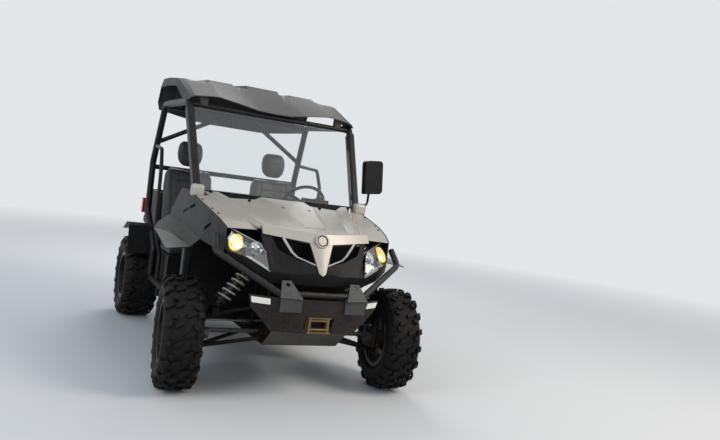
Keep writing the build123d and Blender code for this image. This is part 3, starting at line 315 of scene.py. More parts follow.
def clear(name, colour, roughness, ior=1.58, glow=0.0, transmission=1.0):
    """Clear or dyed plastic that lets light through, with a haze of fine dirt."""
    m = blank(name)
    at = add(m, "TexCoord")
    haze = add(m, "TexNoise", {}, {"Vector": (at, "Object"), "Scale": 1 / (40 * MM), "Detail": 6.0})
    rough = add(m, "MapRange", {}, {"Value": (haze, "Fac"), "From Min": 0.4, "From Max": 0.7,
                                    "To Min": roughness, "To Max": roughness + 0.04})
    shader = add(m, "BsdfPrincipled", {}, {
        "Base Color": colour, "Roughness": (rough, "Result"), "IOR": ior,
        "Transmission Weight": transmission, "Emission Color": colour, "Emission Strength": glow})
    add(m, "OutputMaterial", {}, {"Surface": (shader, "BSDF")})
    return m


screen_sheet = clear("clear polycarbonate sheet", "#F2F6F6", 0.0)
lamp_lens = clear("clear polycarbonate lens", "#F4F6F7", 0.02)
amber_glow = clear("amber polycarbonate, lit", "#F5D765", 0.25, glow=0.6, transmission=0.2)
warm_glow = clear("warm bulb", "#FFF2C4", 0.3, glow=1.5, transmission=0.0)
white_marker = clear("milky polycarbonate", "#DAD8D2", 0.3, glow=0.25, transmission=0.2)
red_lens = clear("red acrylic", "#9E1512", 0.1, ior=1.49, glow=0.05, transmission=0.35)
print("clear finishes:", screen_sheet.name, amber_glow.name)

# %% [markdown]
# ## Rubber and vinyl
# Tyre rubber is nearly black and matt, and dried mud sits between its lugs. Where the mud goes is
# stored on the mesh itself, as a number at each vertex, because the pattern follows the tread. The
# seats are marine vinyl, a soft black skin with a leather grain pressed into it.

# %% Tyre rubber and seat vinyl
tyre_rubber = blank("tyre rubber with dried mud")
at = add(tyre_rubber, "TexCoord")
deep = add(tyre_rubber, "Attribute", {"attribute_name": "mud"})
clods = add(tyre_rubber, "TexNoise", {}, {"Vector": (at, "Object"), "Scale": 1 / (30 * MM), "Detail": 8.0})
heap = add(tyre_rubber, "Math", {"operation": "MULTIPLY_ADD"},
           {0: (deep, "Fac"), 1: 0.42, 2: (clods, "Fac")})
caked = add(tyre_rubber, "MapRange", {}, {"Value": (heap, "Value"), "From Min": 0.84, "From Max": 1.05,
                                          "To Max": 0.45})
skin = add(tyre_rubber, "MixRGB", {}, {"Fac": (caked, "Result"), "Color1": "#0B0B0B", "Color2": "#2A241E"})
rough = add(tyre_rubber, "MapRange", {}, {"Value": (caked, "Result"), "To Min": 0.62, "To Max": 0.95})
grit = add(tyre_rubber, "TexNoise", {}, {"Vector": (at, "Object"), "Scale": 1 / (2.0 * MM), "Detail": 4.0})
lumps = add(tyre_rubber, "Bump", {}, {"Height": (caked, "Result"), "Distance": 2.5 * MM, "Strength": 0.7})
scuff = add(tyre_rubber, "Bump", {}, {"Height": (grit, "Fac"), "Distance": 0.25 * MM, "Strength": 0.7,
                                      "Normal": (lumps, "Normal")})
shader = add(tyre_rubber, "BsdfPrincipled", {}, {
    "Base Color": (skin, "Color"), "Roughness": (rough, "Result"), "Normal": (scuff, "Normal"),
    "Specular IOR Level": 0.2})
add(tyre_rubber, "OutputMaterial", {}, {"Surface": (shader, "BSDF")})


def vinyl(name, colour, second):
    """Grained vinyl: cells about 2 mm across with fine creases between them."""
    m = blank(name)
    at = add(m, "TexCoord")
    cells = add(m, "TexVoronoi", {"feature": "DISTANCE_TO_EDGE"}, {"Vector": (at, "Object"),
                                                                   "Scale": 1 / (2.2 * MM)})
    crease = add(m, "MapRange", {}, {"Value": (cells, "Distance"), "From Max": 0.12})
    cloud = add(m, "TexNoise", {}, {"Vector": (at, "Object"), "Scale": 1 / (70 * MM), "Detail": 5.0})
    tone = add(m, "MixRGB", {}, {"Fac": (cloud, "Fac"), "Color1": colour, "Color2": second})
    rough = add(m, "MapRange", {}, {"Value": (cloud, "Fac"), "To Min": 0.38, "To Max": 0.6})
    bump = add(m, "Bump", {}, {"Height": (crease, "Result"), "Distance": 0.12 * MM, "Strength": 0.6})
    shader = add(m, "BsdfPrincipled", {}, {
        "Base Color": (tone, "Color"), "Roughness": (rough, "Result"), "Normal": (bump, "Normal"),
        "Sheen Weight": 0.15})
    add(m, "OutputMaterial", {}, {"Surface": (shader, "BSDF")})
    return m


seat_vinyl = vinyl("black marine vinyl", "#17181A", "#222326")
grip_rubber = used("soft black grip", "#121213", "#18181A", 0.65, grain=1.5, relief=0.1, dust=0.1, mud=0.0)
print("soft finishes:", tyre_rubber.name, seat_vinyl.name)

# %% [markdown]
# ## Rounding the solids
# A CAD solid comes as loose triangles with knife-sharp edges. Real mouldings have a radius of one
# to five millimetres on every edge, and the thin highlights there are what the eye reads. So a
# copy of the solid is merged, flat areas are joined up, sharp edges get a bevel, and the copy
# stands for the solid. The CAD object itself is never touched.

# %% Helpers for pieces


def piece(name, bm, finish, body, smooth=True):
    """Turns a bmesh into an object that rides on a body."""
    mesh = bpy.data.meshes.new(name)
    for face in bm.faces:
        face.smooth = smooth
    bm.to_mesh(mesh)
    bm.free()
    for part in (finish if isinstance(finish, (list, tuple)) else [finish]):
        mesh.materials.append(part)
    made = bpy.data.objects.new(name, mesh)
    bpy.context.scene.collection.objects.link(made)
    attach(made, body)
    return made


def corners(made):
    """The vertices among what an operator returns."""
    return [g for g in made if isinstance(g, bmesh.types.BMVert)]


def sharpen(bm, angle=32):
    """Marks the edges that turn by more than an angle as sharp, so that they shade crisply."""
    for edge in bm.edges:
        edge.smooth = len(edge.link_faces) == 2 and edge.calc_face_angle(0) < math.radians(angle)


def welded(node, flat=0.6):
    """A merged copy of a CAD node's mesh, its flat areas joined up."""
    bm = bmesh.new()
    bm.from_mesh(frame["nodes"][node].data)
    bmesh.ops.remove_doubles(bm, verts=bm.verts, dist=0.01 * MM)
    bmesh.ops.dissolve_limit(bm, angle_limit=math.radians(flat), verts=bm.verts, edges=bm.edges)
    return bm


def round_edges(bm, width, angle=28, segments=2):
    """Bevels the edges that turn by more than an angle. Width in millimetres."""
    sharp = [e for e in bm.edges if len(e.link_faces) == 2 and e.calc_face_angle(0) > math.radians(angle)]
    bmesh.ops.bevel(bm, geom=sharp, offset=width * MM, offset_type="OFFSET", segments=segments,
                    profile=0.5, affect="EDGES", material=-1, clamp_overlap=True)


def even(made):
    """Weights the shading by face area, so that flat faces stay flat beside their rounded edges."""
    weighted = made.modifiers.new("even shading", "WEIGHTED_NORMAL")
    weighted.keep_sharp = True
    return made


def dress(node, finish, width=2.0, angle=28, segments=2, shape=None):
    """A rounded copy of a CAD node in its finish, which stands for the node. shape is a function that
    changes the copy before its edges are rounded."""
    bm = welded(node)
    if shape:
        shape(bm)
    if width:
        round_edges(bm, width, angle, segments)
    sharpen(bm)
    made = piece(node + ".shape", bm, finish, BODY_OF[node])
    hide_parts(node)
    return even(made)


print("helpers ready")

# %% [markdown]
# ## Tubes, frame and panels
# Each solid gets the radius that its real part has: a sheet metal bracket one millimetre, a
# moulded bumper skin five.

# %% Dress the rigid parts
# Where the roof's channels run out on its brow: (y, height to fill at x = 0.140, 0.215 and 0.450)
BROW = [(-0.214, 0.0045, 0.0011, 0.0), (-0.040, 0.0148, 0.0090, 0.0081), (0.190, 0.0286, 0.0216, 0.0215)]
BROW_END = 0.135


def between(value, table):
    """Straight-line value of a table of (place, value) rows, held at its ends."""
    if value <= table[0][0]:
        return table[0][1]
    for (a, low), (b, high) in zip(table, table[1:]):
        if value <= b:
            return low + (high - low) * (value - a) / (b - a)
    return table[-1][1]


def smooth_brow(bm):
    """Fills the roof's channels on the brow, which is smooth up to its top edge."""
    geom = bm.verts[:] + bm.edges[:] + bm.faces[:]
    bmesh.ops.bisect_plane(bm, geom=geom, plane_co=(0, BROW_END, 0), plane_no=(0, 1, 0))
    for v in bm.verts:
        if v.co.y < BROW_END + MM and v.co.z > 1.74:
            fill = [between(v.co.y, [(row[0], row[k]) for row in BROW]) for k in (1, 2, 3)]
            across = [(0.125, 0), (0.140, fill[0]), (0.215, fill[1]), (0.232, 0), (0.415, 0),
                      (0.450, fill[2]), (0.585, 0)]
            v.co.z += between(abs(v.co.x), across)


# (node, finish, edge radius in mm)
RIGID = [
    ("cage_hoops", cage_coat_and_shade, 0), ("front_pillars", cage_coat_and_shade, 0), ("cage_cross_tubes", cage_coat_and_shade, 0),
    ("side_bolsters", cage_coat_and_shade, 0), ("frame_rails", frame_coat_and_shade, 2), ("belly_pan", cast_alloy, 0),
    ("frame_members", frame_coat_and_shade, 2), ("frame_sills", frame_coat_and_shade, 2), ("nose_struts", frame_coat_and_shade, 2),
    ("front_subframe", frame_coat_and_shade, 2), ("rear_subframe", frame_coat_and_shade, 2), ("front_arms", frame_coat_and_shade, 0),
    ("rear_arms", frame_coat_and_shade, 0), ("knuckle_front_left", cast_iron, 2),
    ("knuckle_front_right", cast_iron, 2), ("engine_block", cast_alloy, 12),
    ("axle_drives", cast_alloy, 4), ("steering_rack", bare_steel, 1),
    ("steering_column", black_trim, 1), ("dashboard", black_trim, 8), ("cabin_tub", black_trim, 2),
    ("windshield", screen_sheet, 0), ("rear_fenders", black_trim, 2), ("cargo_bed", black_trim, 4),
    ("tailgate", black_trim, 4), ("silencer", pipe_steel, 4), ("rear_bumper", bumper_coat, 1),
    ("radiator", black_trim, 2), ("front_fascia", black_trim, 3),
    ("front_bumper", bumper_coat, 0), ("bumper_brackets", bracket_coat, 1.5),
    ("lower_fascia", brown_trim, 3), ("winch", black_trim, 3), ("fairlead", gold_zinc, 2),
    ("tail_lamps", red_lens, 3), ("marker_lamps", white_marker, 1.5),
    ("rim_front_left", dark_alloy, 1.5), ("rim_front_right", dark_alloy, 1.5),
    ("rim_rear_left", dark_alloy, 1.5), ("rim_rear_right", dark_alloy, 1.5),
]
for node, finish, width in RIGID:
    made = dress(node, finish, width)
    print(node, len(made.data.polygons), "faces")

# %% [markdown]
# ## Creased panels
# The hood, the fender tops, the side panels and the roof are large mouldings with long soft
# creases. A crease turns by as little as ten degrees, so here the angle that counts as an edge is
# small, and each crease is rounded to a radius that the light can run along.

# %% Dress the creased panels
# (node, finish, edge radius in mm, crease angle, change of shape)
CREASED = [
    ("hood", silver_panel, 4, 7, None), ("front_fenders", silver_panel, 3, 12, None),
    ("side_panels", grey_trim, 2, 12, None), ("roof_panel", roof_trim, 6, 10, smooth_brow),
    ("nose_bar", silver_panel, 4, 12, None),
]
for node, finish, width, angle, shape in CREASED:
    made = dress(node, finish, width, angle, 2, shape)
    print(node, len(made.data.polygons), "faces")

# the flare: a mid grey skin outside a fold that runs from its front inner corner back to its outer
# edge, and darker from the fold up to the side panel and on every face that doesn't face up: painted
# shade for the fold's shadow and the flare's shaded sides. The fold as (x, y) of its two ends.
FOLD = [(0.668, -0.930), (0.778, -0.290)]


def fold_flares(bm):
    """Cuts both flares along the fold."""
    (x0, y0), (x1, y1) = FOLD
    for way in (1, -1):
        geom = bm.verts[:] + bm.edges[:] + bm.faces[:]
        bmesh.ops.bisect_plane(bm, geom=geom, plane_co=(way * x0, y0, 0),
                               plane_no=(way * (y1 - y0), x0 - x1, 0))


flares = dress("fender_flares", [flare_trim, grey_trim], 2.5, 10, 2, fold_flares)
(x0, y0), (x1, y1) = FOLD
# painted shade: upward faces outside the fold keep the mid grey, all other faces get the darker grey
for face in flares.data.polygons:
    at = face.center
    outside = (abs(at.x) - x0) * (y1 - y0) + (at.y - y0) * (x0 - x1) > 0
    face.material_index = 0 if outside and face.normal.z > 0.3 else 1
print("flares", len(flares.data.polygons), "faces")

# the mirror: a deep moulded shell with large corner radii on a bent arm
MIRROR_FOOT = 1.26
ELBOW = (0.760, -0.350)
bm = welded("mirror")
# the shell's corners first, then its other edges: (shortest, longest, radius in mm)
for low, high, offset in ((0.040, 0.052, 30), (0.0, 1.0, 9)):
    head = [e for e in bm.edges if min(v.co.z for v in e.verts) > MIRROR_FOOT and len(e.link_faces) == 2
            and low < e.calc_length() < high and e.calc_face_angle(0) > math.radians(55)
            and max(abs(v.co.x - ELBOW[0]) + abs(v.co.y - ELBOW[1]) for v in e.verts) > 0.016]
    bmesh.ops.bevel(bm, geom=head, offset=offset * MM, offset_type="OFFSET",
                    segments=5 if offset > 20 else 3, profile=0.5, affect="EDGES", material=-1,
                    clamp_overlap=True)
sharpen(bm)
mirror = piece("mirror.shape", bm, black_trim, BODY_OF["mirror"])
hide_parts("mirror")
even(mirror)
print("mirror", len(mirror.data.polygons), "faces")

# %% [markdown]
# ## The wheels' places
# The front wheels stand turned a little, as in the picture: each is built straight, then turned
# about its kingpin.

# %% Where each wheel stands
STEER = math.radians(-6)
KINGPIN = (0.6, -1.01, 0.33)
SCRUB = 0.095
REAR_HUB = (0.62, 1.03, 0.33)
TYRE_R = 0.33
FRONT_TYRE_W = 0.229
REAR_TYRE_W = 0.279
# (name, place, tyre's width)
WHEELS = []
for side, way in (("left", 1), ("right", -1)):
    turn = Matrix.Rotation(STEER + (math.pi if way < 0 else 0), 4, "Z")
    pin = Vector((KINGPIN[0] * way, KINGPIN[1], KINGPIN[2]))
    place = Matrix.Translation(pin) @ turn @ Matrix.Translation((SCRUB, 0, 0))
    WHEELS.append((f"front_{side}", place, FRONT_TYRE_W))
    turn = Matrix.Rotation(math.pi if way < 0 else 0, 4, "Z")
    hub = Vector((REAR_HUB[0] * way, REAR_HUB[1], REAR_HUB[2]))
    WHEELS.append((f"rear_{side}", Matrix.Translation(hub) @ turn, REAR_TYRE_W))
print("wheels:", [row[0] for row in WHEELS])

# %% [markdown]
# ## Mud tyres
# A mud tyre is a bulging carcass with tall separate lugs: staggered chevrons down the middle and
# heavy blocks that run over the shoulder onto the sidewall. The carcass is one profile spun round
# the axle. Each lug starts as a cube, and its corners are bent round the tyre.

# %% Tyres
# The tread block's height, and the tread's repeats round the tyre
LUG_H = 0.019
PITCHES = 18
# mud fills the tread below its worn tops, and lies thinner on the flank
WORN = 0.004
FLANK_R = 0.28
FLANK_MUD = 0.35


def lug(bm, across, along, skew, tops, foot):
    """A block on the tyre: across and along are its low and high side, in metres of width and arc.
    tops is its radius at the low and high side of across."""
    cube = bmesh.ops.create_cube(bm, size=1.0)["verts"]
    for v in cube:
        u, s, h = v.co.x + 0.5, v.co.y, v.co.z
        x = across[0] + (across[1] - across[0]) * u
        draft = 1.0 if h > 0 else 1.14
        arc = (along[0] + along[1]) / 2 + (along[1] - along[0]) * s * draft + skew * (u - 0.5)
        r = (tops[0] + (tops[1] - tops[0]) * u) if h > 0 else foot[0] + (foot[1] - foot[0]) * u
        turn = arc / TYRE_R
        v.co = (x, -r * math.sin(turn), r * math.cos(turn))
    return cube


def tyre(name, place, width):
    """A spun carcass with three blocks to a side in each repeat, and its mud as a vertex value."""
    half = width / 2
    low = TYRE_R - LUG_H
    # (x, r) from the middle of the tread to the bead
    side = [(0, low), (half * 0.45, low - 0.001), (half * 0.72, low - 0.005),
            (half - 0.026, low - 0.014), (half - 0.010, low - 0.030), (half - 0.003, 0.262),
            (half - 0.001, 0.244), (half - 0.005, 0.226), (half - 0.012, 0.208), (half - 0.018, 0.200),
            (half - 0.024, 0.196), (half - 0.024, 0.179)]
    ring = [(-x, r) for x, r in side[::-1]] + side[1:]
    bm = bmesh.new()
    line = [bm.verts.new((x, 0, r)) for x, r in ring]
    edges = [bm.edges.new((a, b)) for a, b in zip(line, line[1:] + line[:1])]
    bmesh.ops.spin(bm, geom=line + edges, axis=(1, 0, 0), cent=(0, 0, 0), angle=2 * math.pi, steps=96,
                   use_merge=True)
    bmesh.ops.recalc_face_normals(bm, faces=bm.faces)
    lugs = []
    pitch = 2 * math.pi * TYRE_R / PITCHES
    top, edge = TYRE_R, TYRE_R - 0.006
    for step in range(PITCHES):
        for way in (-1, 1):
            start = pitch * (step + (0.5 if way > 0 else 0.0))
            flank = (low - 0.004, low - 0.006)
            spots = [
                ((0.006, half * 0.46), (start - 0.014, start + 0.014), -0.022, (top, top)),
                ((half * 0.40, half * 0.62), (start + 0.028, start + 0.056), 0.012, (top, top - 0.002)),
                ((half * 0.60, half - 0.014), (start - 0.018, start + 0.014), -0.016,
                 (top - 0.002, edge - 0.004)),
            ]
            for across, along, skew, tops in spots:
                across = tuple(way * x for x in across)
                lugs += lug(bm, across, along, skew * way, tops, flank)
            # the shoulder block that runs down the flank
            across = (way * (half - 0.016), way * (half - 0.001))
            lugs += lug(bm, across, (start - 0.018, start + 0.010), 0, (edge - 0.006, 0.292),
                        (low - 0.016, 0.262))
    faces = {f for v in lugs for f in v.link_faces}
    bmesh.ops.recalc_face_normals(bm, faces=list(faces))
    rims = list({e for f in faces for e in f.edges})
    bmesh.ops.bevel(bm, geom=rims, offset=2.2 * MM, offset_type="OFFSET", segments=1, profile=0.5,
                    affect="EDGES", material=-1, clamp_overlap=True)
    mud = bm.verts.layers.float.new("mud")
    for v in bm.verts:
        r = math.hypot(v.co.y, v.co.z)
        v[mud] = max(0.0, min(1.0, (TYRE_R - WORN - r) / (LUG_H - WORN))) if r > FLANK_R else FLANK_MUD
    sharpen(bm, 40)
    bmesh.ops.transform(bm, matrix=place, verts=bm.verts)
    made = piece("tyre_" + name + ".shape", bm, tyre_rubber, "wheel_" + name)
    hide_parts("tyre_" + name)
    return made


for name, place, width in WHEELS:
    made = tyre(name, place, width)
    print(made.name, len(made.data.polygons), "faces")

# %% [markdown]
# ## Coil springs over dampers
# The front right spring is one of the few bright things under the vehicle. Its wire is a circle
# swept round the damper while it climbs, which is what spin does when it also gets a step along
# its axis. The damper itself is one profile spun round: eye, body, rod.

# %% Shocks
# (y, top x, top z, foot x, foot z), as on the right
SHOCKS = [(-1.01, 0.25, 0.80, 0.50, 0.482), (1.03, 0.33, 0.722, 0.42, 0.482)]
COIL_R = 0.0393
WIRE_R = 0.0056
TURNS = 7
STEPS_A_TURN = 28


def spun(bm, profile, steps=32):
    """Spins an (r, z) profile round Z into a closed solid."""
    line = [bm.verts.new((r, 0, z)) for r, z in profile]
    edges = [bm.edges.new((a, b)) for a, b in zip(line, line[1:])]
    made = bmesh.ops.spin(bm, geom=line + edges, axis=(0, 0, 1), cent=(0, 0, 0), angle=2 * math.pi,
                          steps=steps, use_merge=True)
    bmesh.ops.remove_doubles(bm, verts=bm.verts, dist=0.01 * MM)
    return made


def standing(foot, top):
    """Matrix that stands a piece built up Z on a foot, towards a top."""
    run = Vector(top) - Vector(foot)
    return Matrix.Translation(foot) @ run.to_track_quat("Z", "Y").to_matrix().to_4x4(), run.length


def join(bm, part, place):
    """Adds a part to a bmesh, in its place, and frees the part."""
    bmesh.ops.transform(part, matrix=place, verts=part.verts)
    mesh = bpy.data.meshes.new("part")
    part.to_mesh(mesh)
    part.free()
    bm.from_mesh(mesh)
    bpy.data.meshes.remove(mesh)


coils, dampers = bmesh.new(), bmesh.new()
for y, top_x, top_z, foot_x, foot_z in SHOCKS:
    for way in (-1, 1):
        place, run = standing((foot_x * way, y, foot_z), (top_x * way, y, top_z))
        low, high = run * 0.16, run * 0.86
        coil, damper = bmesh.new(), bmesh.new()
        wire = bmesh.ops.create_circle(coil, segments=10, radius=WIRE_R)["verts"]
        stand_up = Matrix.Translation((COIL_R, 0, low + WIRE_R)) @ Matrix.Rotation(math.pi / 2, 4, "X")
        bmesh.ops.transform(coil, matrix=stand_up, verts=wire)
        loop = wire + list({e for v in wire for e in v.link_edges})
        steps = TURNS * STEPS_A_TURN
        bmesh.ops.spin(coil, geom=loop, axis=(0, 0, 1), cent=(0, 0, 0), angle=TURNS * 2 * math.pi,
                       steps=steps, dvec=(0, 0, (high - low - 2 * WIRE_R) / steps), use_merge=False)
        bmesh.ops.holes_fill(coil, edges=[e for e in coil.edges if e.is_boundary])
        join(coils, coil, place)
        body = [(0, 0.004), (0.012, 0.004), (0.0145, 0.012), (0.0145, low - 0.012), (0.044, low - 0.010),
                (0.0448, low - 0.006), (0.0448, low - 0.001), (0.030, low), (0.0265, low + 0.004),
                (0.0265, run * 0.52), (0.0235, run * 0.53), (0.0085, run * 0.535), (0.0085, high),
                (0.030, high), (0.0448, high + 0.001), (0.0448, high + 0.007), (0.018, high + 0.010),
                (0.0145, high + 0.014), (0.0145, run - 0.008), (0.011, run - 0.002), (0, run - 0.002)]
        spun(damper, body)
        for z in (low + 0.020, low + 0.030):
            spun(damper, [(0.0262, z), (0.031, z + 0.001), (0.031, z + 0.006), (0.0262, z + 0.007)])
        join(dampers, damper, place)
for bm in (coils, dampers):
    bmesh.ops.recalc_face_normals(bm, faces=bm.faces)
    sharpen(bm)
coils = piece("shock_springs", coils, spring_coat, "chassis")
dampers = piece("shock_dampers", dampers, cage_coat_and_shade, "chassis")
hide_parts("shocks")
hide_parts("shocks")
print("spring faces", len(coils.data.polygons))

# %% [markdown]
# ## Steering wheel
# A grip ring, three flat spokes and a padded boss. Built flat round Z, then leaned into place with
# one matrix whose Z column runs along the steering column.

# %% Steering wheel
WHEEL_C = Vector((0.36, -0.05, 1.125))
RING_R = 0.161
GRIP_R = 0.0138
SPOKES = (-30, 90, 210)
lean = Vector((0, 0.825253, 0.564763))
side = Vector((1, 0, 0))
wheel_place = Matrix.Translation(WHEEL_C) @ Matrix((side, lean.cross(side), lean)).transposed().to_4x4()
bm = bmesh.new()
grip = bmesh.ops.create_circle(bm, segments=16, radius=GRIP_R)["verts"]
upright_ring = Matrix.Rotation(math.pi / 2, 4, "X")
bmesh.ops.transform(bm, matrix=Matrix.Translation((RING_R, 0, 0)) @ upright_ring, verts=grip)
loop = grip + list({e for v in grip for e in v.link_edges})
bmesh.ops.spin(bm, geom=loop, axis=(0, 0, 1), cent=(0, 0, 0), angle=2 * math.pi, steps=72, use_merge=True)
# thumb swellings where the spokes meet the grip
for v in bm.verts:
    turn = math.degrees(math.atan2(v.co.y, v.co.x))
    near = max(math.exp(-((turn - a + 180) % 360 - 180) ** 2 / 260) for a in SPOKES)
    out = Vector((v.co.x, v.co.y, 0)).normalized() * RING_R
    v.co = out + (v.co - out) * (1 - 0.12 * (1 - near))
bmesh.ops.recalc_face_normals(bm, faces=bm.faces)
grip_ring = piece("steering_grip", bm, grip_rubber, "steering")
bm = bmesh.new()
for angle in SPOKES:
    cube = bmesh.ops.create_cube(bm, size=1.0)["verts"]
    for v in cube:
        near_hub = v.co.x < 0
        v.co = (0.028 if near_hub else 0.157, v.co.y * (0.040 if near_hub else 0.022),
                -0.0035 + v.co.z * (0.008 if near_hub else 0.007))
    bmesh.ops.rotate(bm, verts=cube, cent=(0, 0, 0), matrix=Matrix.Rotation(math.radians(angle), 3, "Z"))
spun(bm, [(0, 0.0120), (0.026, 0.0110), (0.034, 0.006), (0.037, -0.004), (0.035, -0.012), (0.0255, -0.014),
          (0.0255, -0.0445), (0, -0.0445)], 48)
round_edges(bm, 1.6)
bmesh.ops.recalc_face_normals(bm, faces=bm.faces)
sharpen(bm)
boss = piece("steering_spokes", bm, black_trim, "steering")
for part in (grip_ring, boss):
    part.data.transform(wheel_place)
    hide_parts("steering_wheel")
print("steering wheel at", WHEEL_C[:])

# %% [markdown]
# ## Headlamps
# A lamp is a clear faceted cover over a dark tray. In the tray's outer half a lit amber cell, in
# its inner half a chrome bowl with a round projector, and along the lower inner edge a white
# light strip. The cover is a thin shell, so that the parts behind it show.

# %% Lamps
# Round the left lamp's front from its outer top corner
LAMP = [(0.529, -1.106, 0.985), (0.509, -1.200, 0.846), (0.452, -1.262, 0.834), (0.399, -1.302, 0.814),
        (0.300, -1.336, 0.762), (0.318, -1.284, 0.862), (0.350, -1.224, 0.908)]
LAMP_OUT = Vector((0.284, -0.776, 0.562))
LAMP_DEEP = 0.036


def lamp_at(x, z, depth=0.0):
    """A point on the plane of the lamp's front over (x, z), sunk in by a depth."""
    return Vector((x, -1.227 + 0.367 * (x - 0.415) + 0.724 * (z - 0.880), z)) - LAMP_OUT * depth


def mirrored(bm):
    """Adds the twin on the other side."""
    geom = bm.verts[:] + bm.edges[:] + bm.faces[:]
    copy = bmesh.ops.duplicate(bm, geom=geom)["geom"]
    verts = corners(copy)
    faces = [g for g in copy if isinstance(g, bmesh.types.BMFace)]
    bmesh.ops.scale(bm, vec=(-1, 1, 1), verts=verts)
    bmesh.ops.reverse_faces(bm, faces=faces)


# the cover: the CAD lamp's front as a 2.5 mm shell with a soft rim
bm = bmesh.new()
ring = [bm.verts.new(p) for p in LAMP]
hub = bm.verts.new((0.415, -1.232, 0.880))
for a, b in zip(ring, ring[1:] + ring[:1]):
    bm.faces.new((hub, a, b))
bmesh.ops.subdivide_edges(bm, edges=bm.edges[:], cuts=3, use_grid_fill=True)
inner = [v for v in bm.verts if not v.is_boundary]
for _ in range(6):
    bmesh.ops.smooth_vert(bm, verts=inner, factor=0.5, use_axis_x=False, use_axis_y=True,
                          use_axis_z=False)
bmesh.ops.recalc_face_normals(bm, faces=bm.faces)
if sum(f.normal.y for f in bm.faces) > 0:
    bmesh.ops.reverse_faces(bm, faces=bm.faces)
edges = [e for e in bm.edges if e.is_boundary]
wall = bmesh.ops.extrude_edge_only(bm, edges=edges)["geom"]
bmesh.ops.translate(bm, vec=(0, LAMP_DEEP, 0), verts=corners(wall))
bmesh.ops.recalc_face_normals(bm, faces=bm.faces)
bmesh.ops.solidify(bm, geom=bm.faces[:], thickness=0.0022)
mirrored(bm)
sharpen(bm)
cover = piece("headlight_covers", bm, lamp_lens, "chassis")
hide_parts("headlights")

LAMP_MIDDLE = sum((Vector(p) for p in LAMP), Vector()) / len(LAMP)


def lamp_rim(corner, scale, back):
    """A corner of the lamp's outline, drawn in towards its middle and set back."""
    return LAMP_MIDDLE + (Vector(LAMP[corner]) - LAMP_MIDDLE) * scale + Vector((0, back, 0))


# the reflector box: walls that draw in from the cover's rim to a floor
bm = bmesh.new()
front = [bm.verts.new(lamp_rim(k, 0.965, 0.006)) for k in range(len(LAMP))]
deep = [bm.verts.new(lamp_rim(k, 0.88, 0.036)) for k in range(len(LAMP))]
for k in range(len(LAMP)):
    j = (k + 1) % len(LAMP)
    bm.faces.new((front[k], front[j], deep[j], deep[k]))
bmesh.ops.triangulate(bm, faces=[bm.faces.new(deep)])
bmesh.ops.recalc_face_normals(bm, faces=bm.faces)
bmesh.ops.solidify(bm, geom=bm.faces[:], thickness=0.0012)
mirrored(bm)
piece("headlight_trays", bm, smoked_chrome, "chassis", smooth=False)


def facing_out(place):
    """Matrix that turns a piece built up Z to look out of the lamp at a place."""
    return Matrix.Translation(place) @ LAMP_OUT.to_track_quat("Z", "Y").to_matrix().to_4x4()


def bowl(bm, place, radius, depth, stretch=1.0, steps=40):
    """A reflector bowl that opens out of the lamp, spun from a curve. Few steps give facets."""
    part = bmesh.new()
    line = [(radius * t, depth * t * t - depth) for t in (0.0, 0.2, 0.4, 0.6, 0.8, 1.0)]
    line += [(radius + 0.002, 0), (radius + 0.002, -depth)]
    spun(part, line, steps)
    join(bm, part, facing_out(place) @ Matrix.Diagonal((1, stretch, 1, 1)))


def strip(bm, a, b, wide, deep):
    """A bar from one point to another with a rectangular section."""
    a, b = Vector(a), Vector(b)
    turn = (b - a).to_track_quat("X", "Z").to_matrix().to_4x4()
    size = Matrix.Diagonal(((b - a).length + wide * 0.7, deep, wide, 1))
    cube = bmesh.ops.create_cube(bm, size=1.0)["verts"]
    bmesh.ops.transform(bm, matrix=Matrix.Translation((a + b) / 2) @ turn @ size, verts=cube)


def twin_piece(name, bm, finish, smooth=True, body="chassis"):
    """Mirrors a left part, mends its faces and makes one piece of both."""
    bmesh.ops.recalc_face_normals(bm, faces=bm.faces)
    mirrored(bm)
    sharpen(bm)
    return piece(name, bm, finish, body, smooth)


# outer cell: an amber oval bowl with its bulb, low in the bowl
cell = bmesh.new()
bowl(cell, lamp_at(0.473, 0.902, 0.010), 0.039, 0.014, 1.3)
twin_piece("headlight_amber", cell, amber_glow)
bulb = bmesh.new()
dome = bmesh.new()
spun(dome, [(0, 0.008), (0.009, 0.0065), (0.016, 0.002), (0.019, -0.004), (0.019, -0.008),
            (0, -0.008)], 32)
join(bulb, dome, facing_out(lamp_at(0.472, 0.884, 0.014)))
twin_piece("headlight_bulbs", bulb, warm_glow)
# inner cell: a faceted chrome bowl round a capped bulb
cell = bmesh.new()
bowl(cell, lamp_at(0.368, 0.884, 0.012), 0.037, 0.020, 1.12, 11)
cap = bmesh.new()
spun(cap, [(0, 0.004), (0.008, 0.003), (0.012, -0.002), (0.012, -0.016), (0, -0.016)], 24)
join(cell, cap, facing_out(lamp_at(0.368, 0.884, 0.014)))
twin_piece("headlight_bowls", cell, chrome)
# a dark divider between the cells, a white light strip low on the inner side, and bright beads along the
# cover's edges, a painted highlight
bar = bmesh.new()
strip(bar, lamp_at(0.428, 0.940, 0.010), lamp_at(0.436, 0.846, 0.010), 0.010, 0.012)
twin_piece("headlight_dividers", bar, black_trim, False)
bar = bmesh.new()
low_corner = lamp_rim(3, 0.86, 0.010)
strip(bar, (lamp_rim(2, 0.86, 0.010) + low_corner) / 2, low_corner, 0.010, 0.004)
strip(bar, low_corner, lamp_rim(4, 0.88, 0.008), 0.013, 0.004)
round_edges(bar, 1.0)
twin_piece("headlight_strips", bar, white_marker)
# satin chrome beads along the cover's upper and lower inner edges: painted highlight for the light caught
# on the cover's rim
bar = bmesh.new()
for a, b in ((0, 6), (6, 5), (3, 4)):
    strip(bar, lamp_rim(a, 0.985, 0.000), lamp_rim(b, 0.985, 0.000), 0.0035, 0.005)
twin_piece("headlight_rim_highlights", bar, bright_trim, False)
print("lamps done")

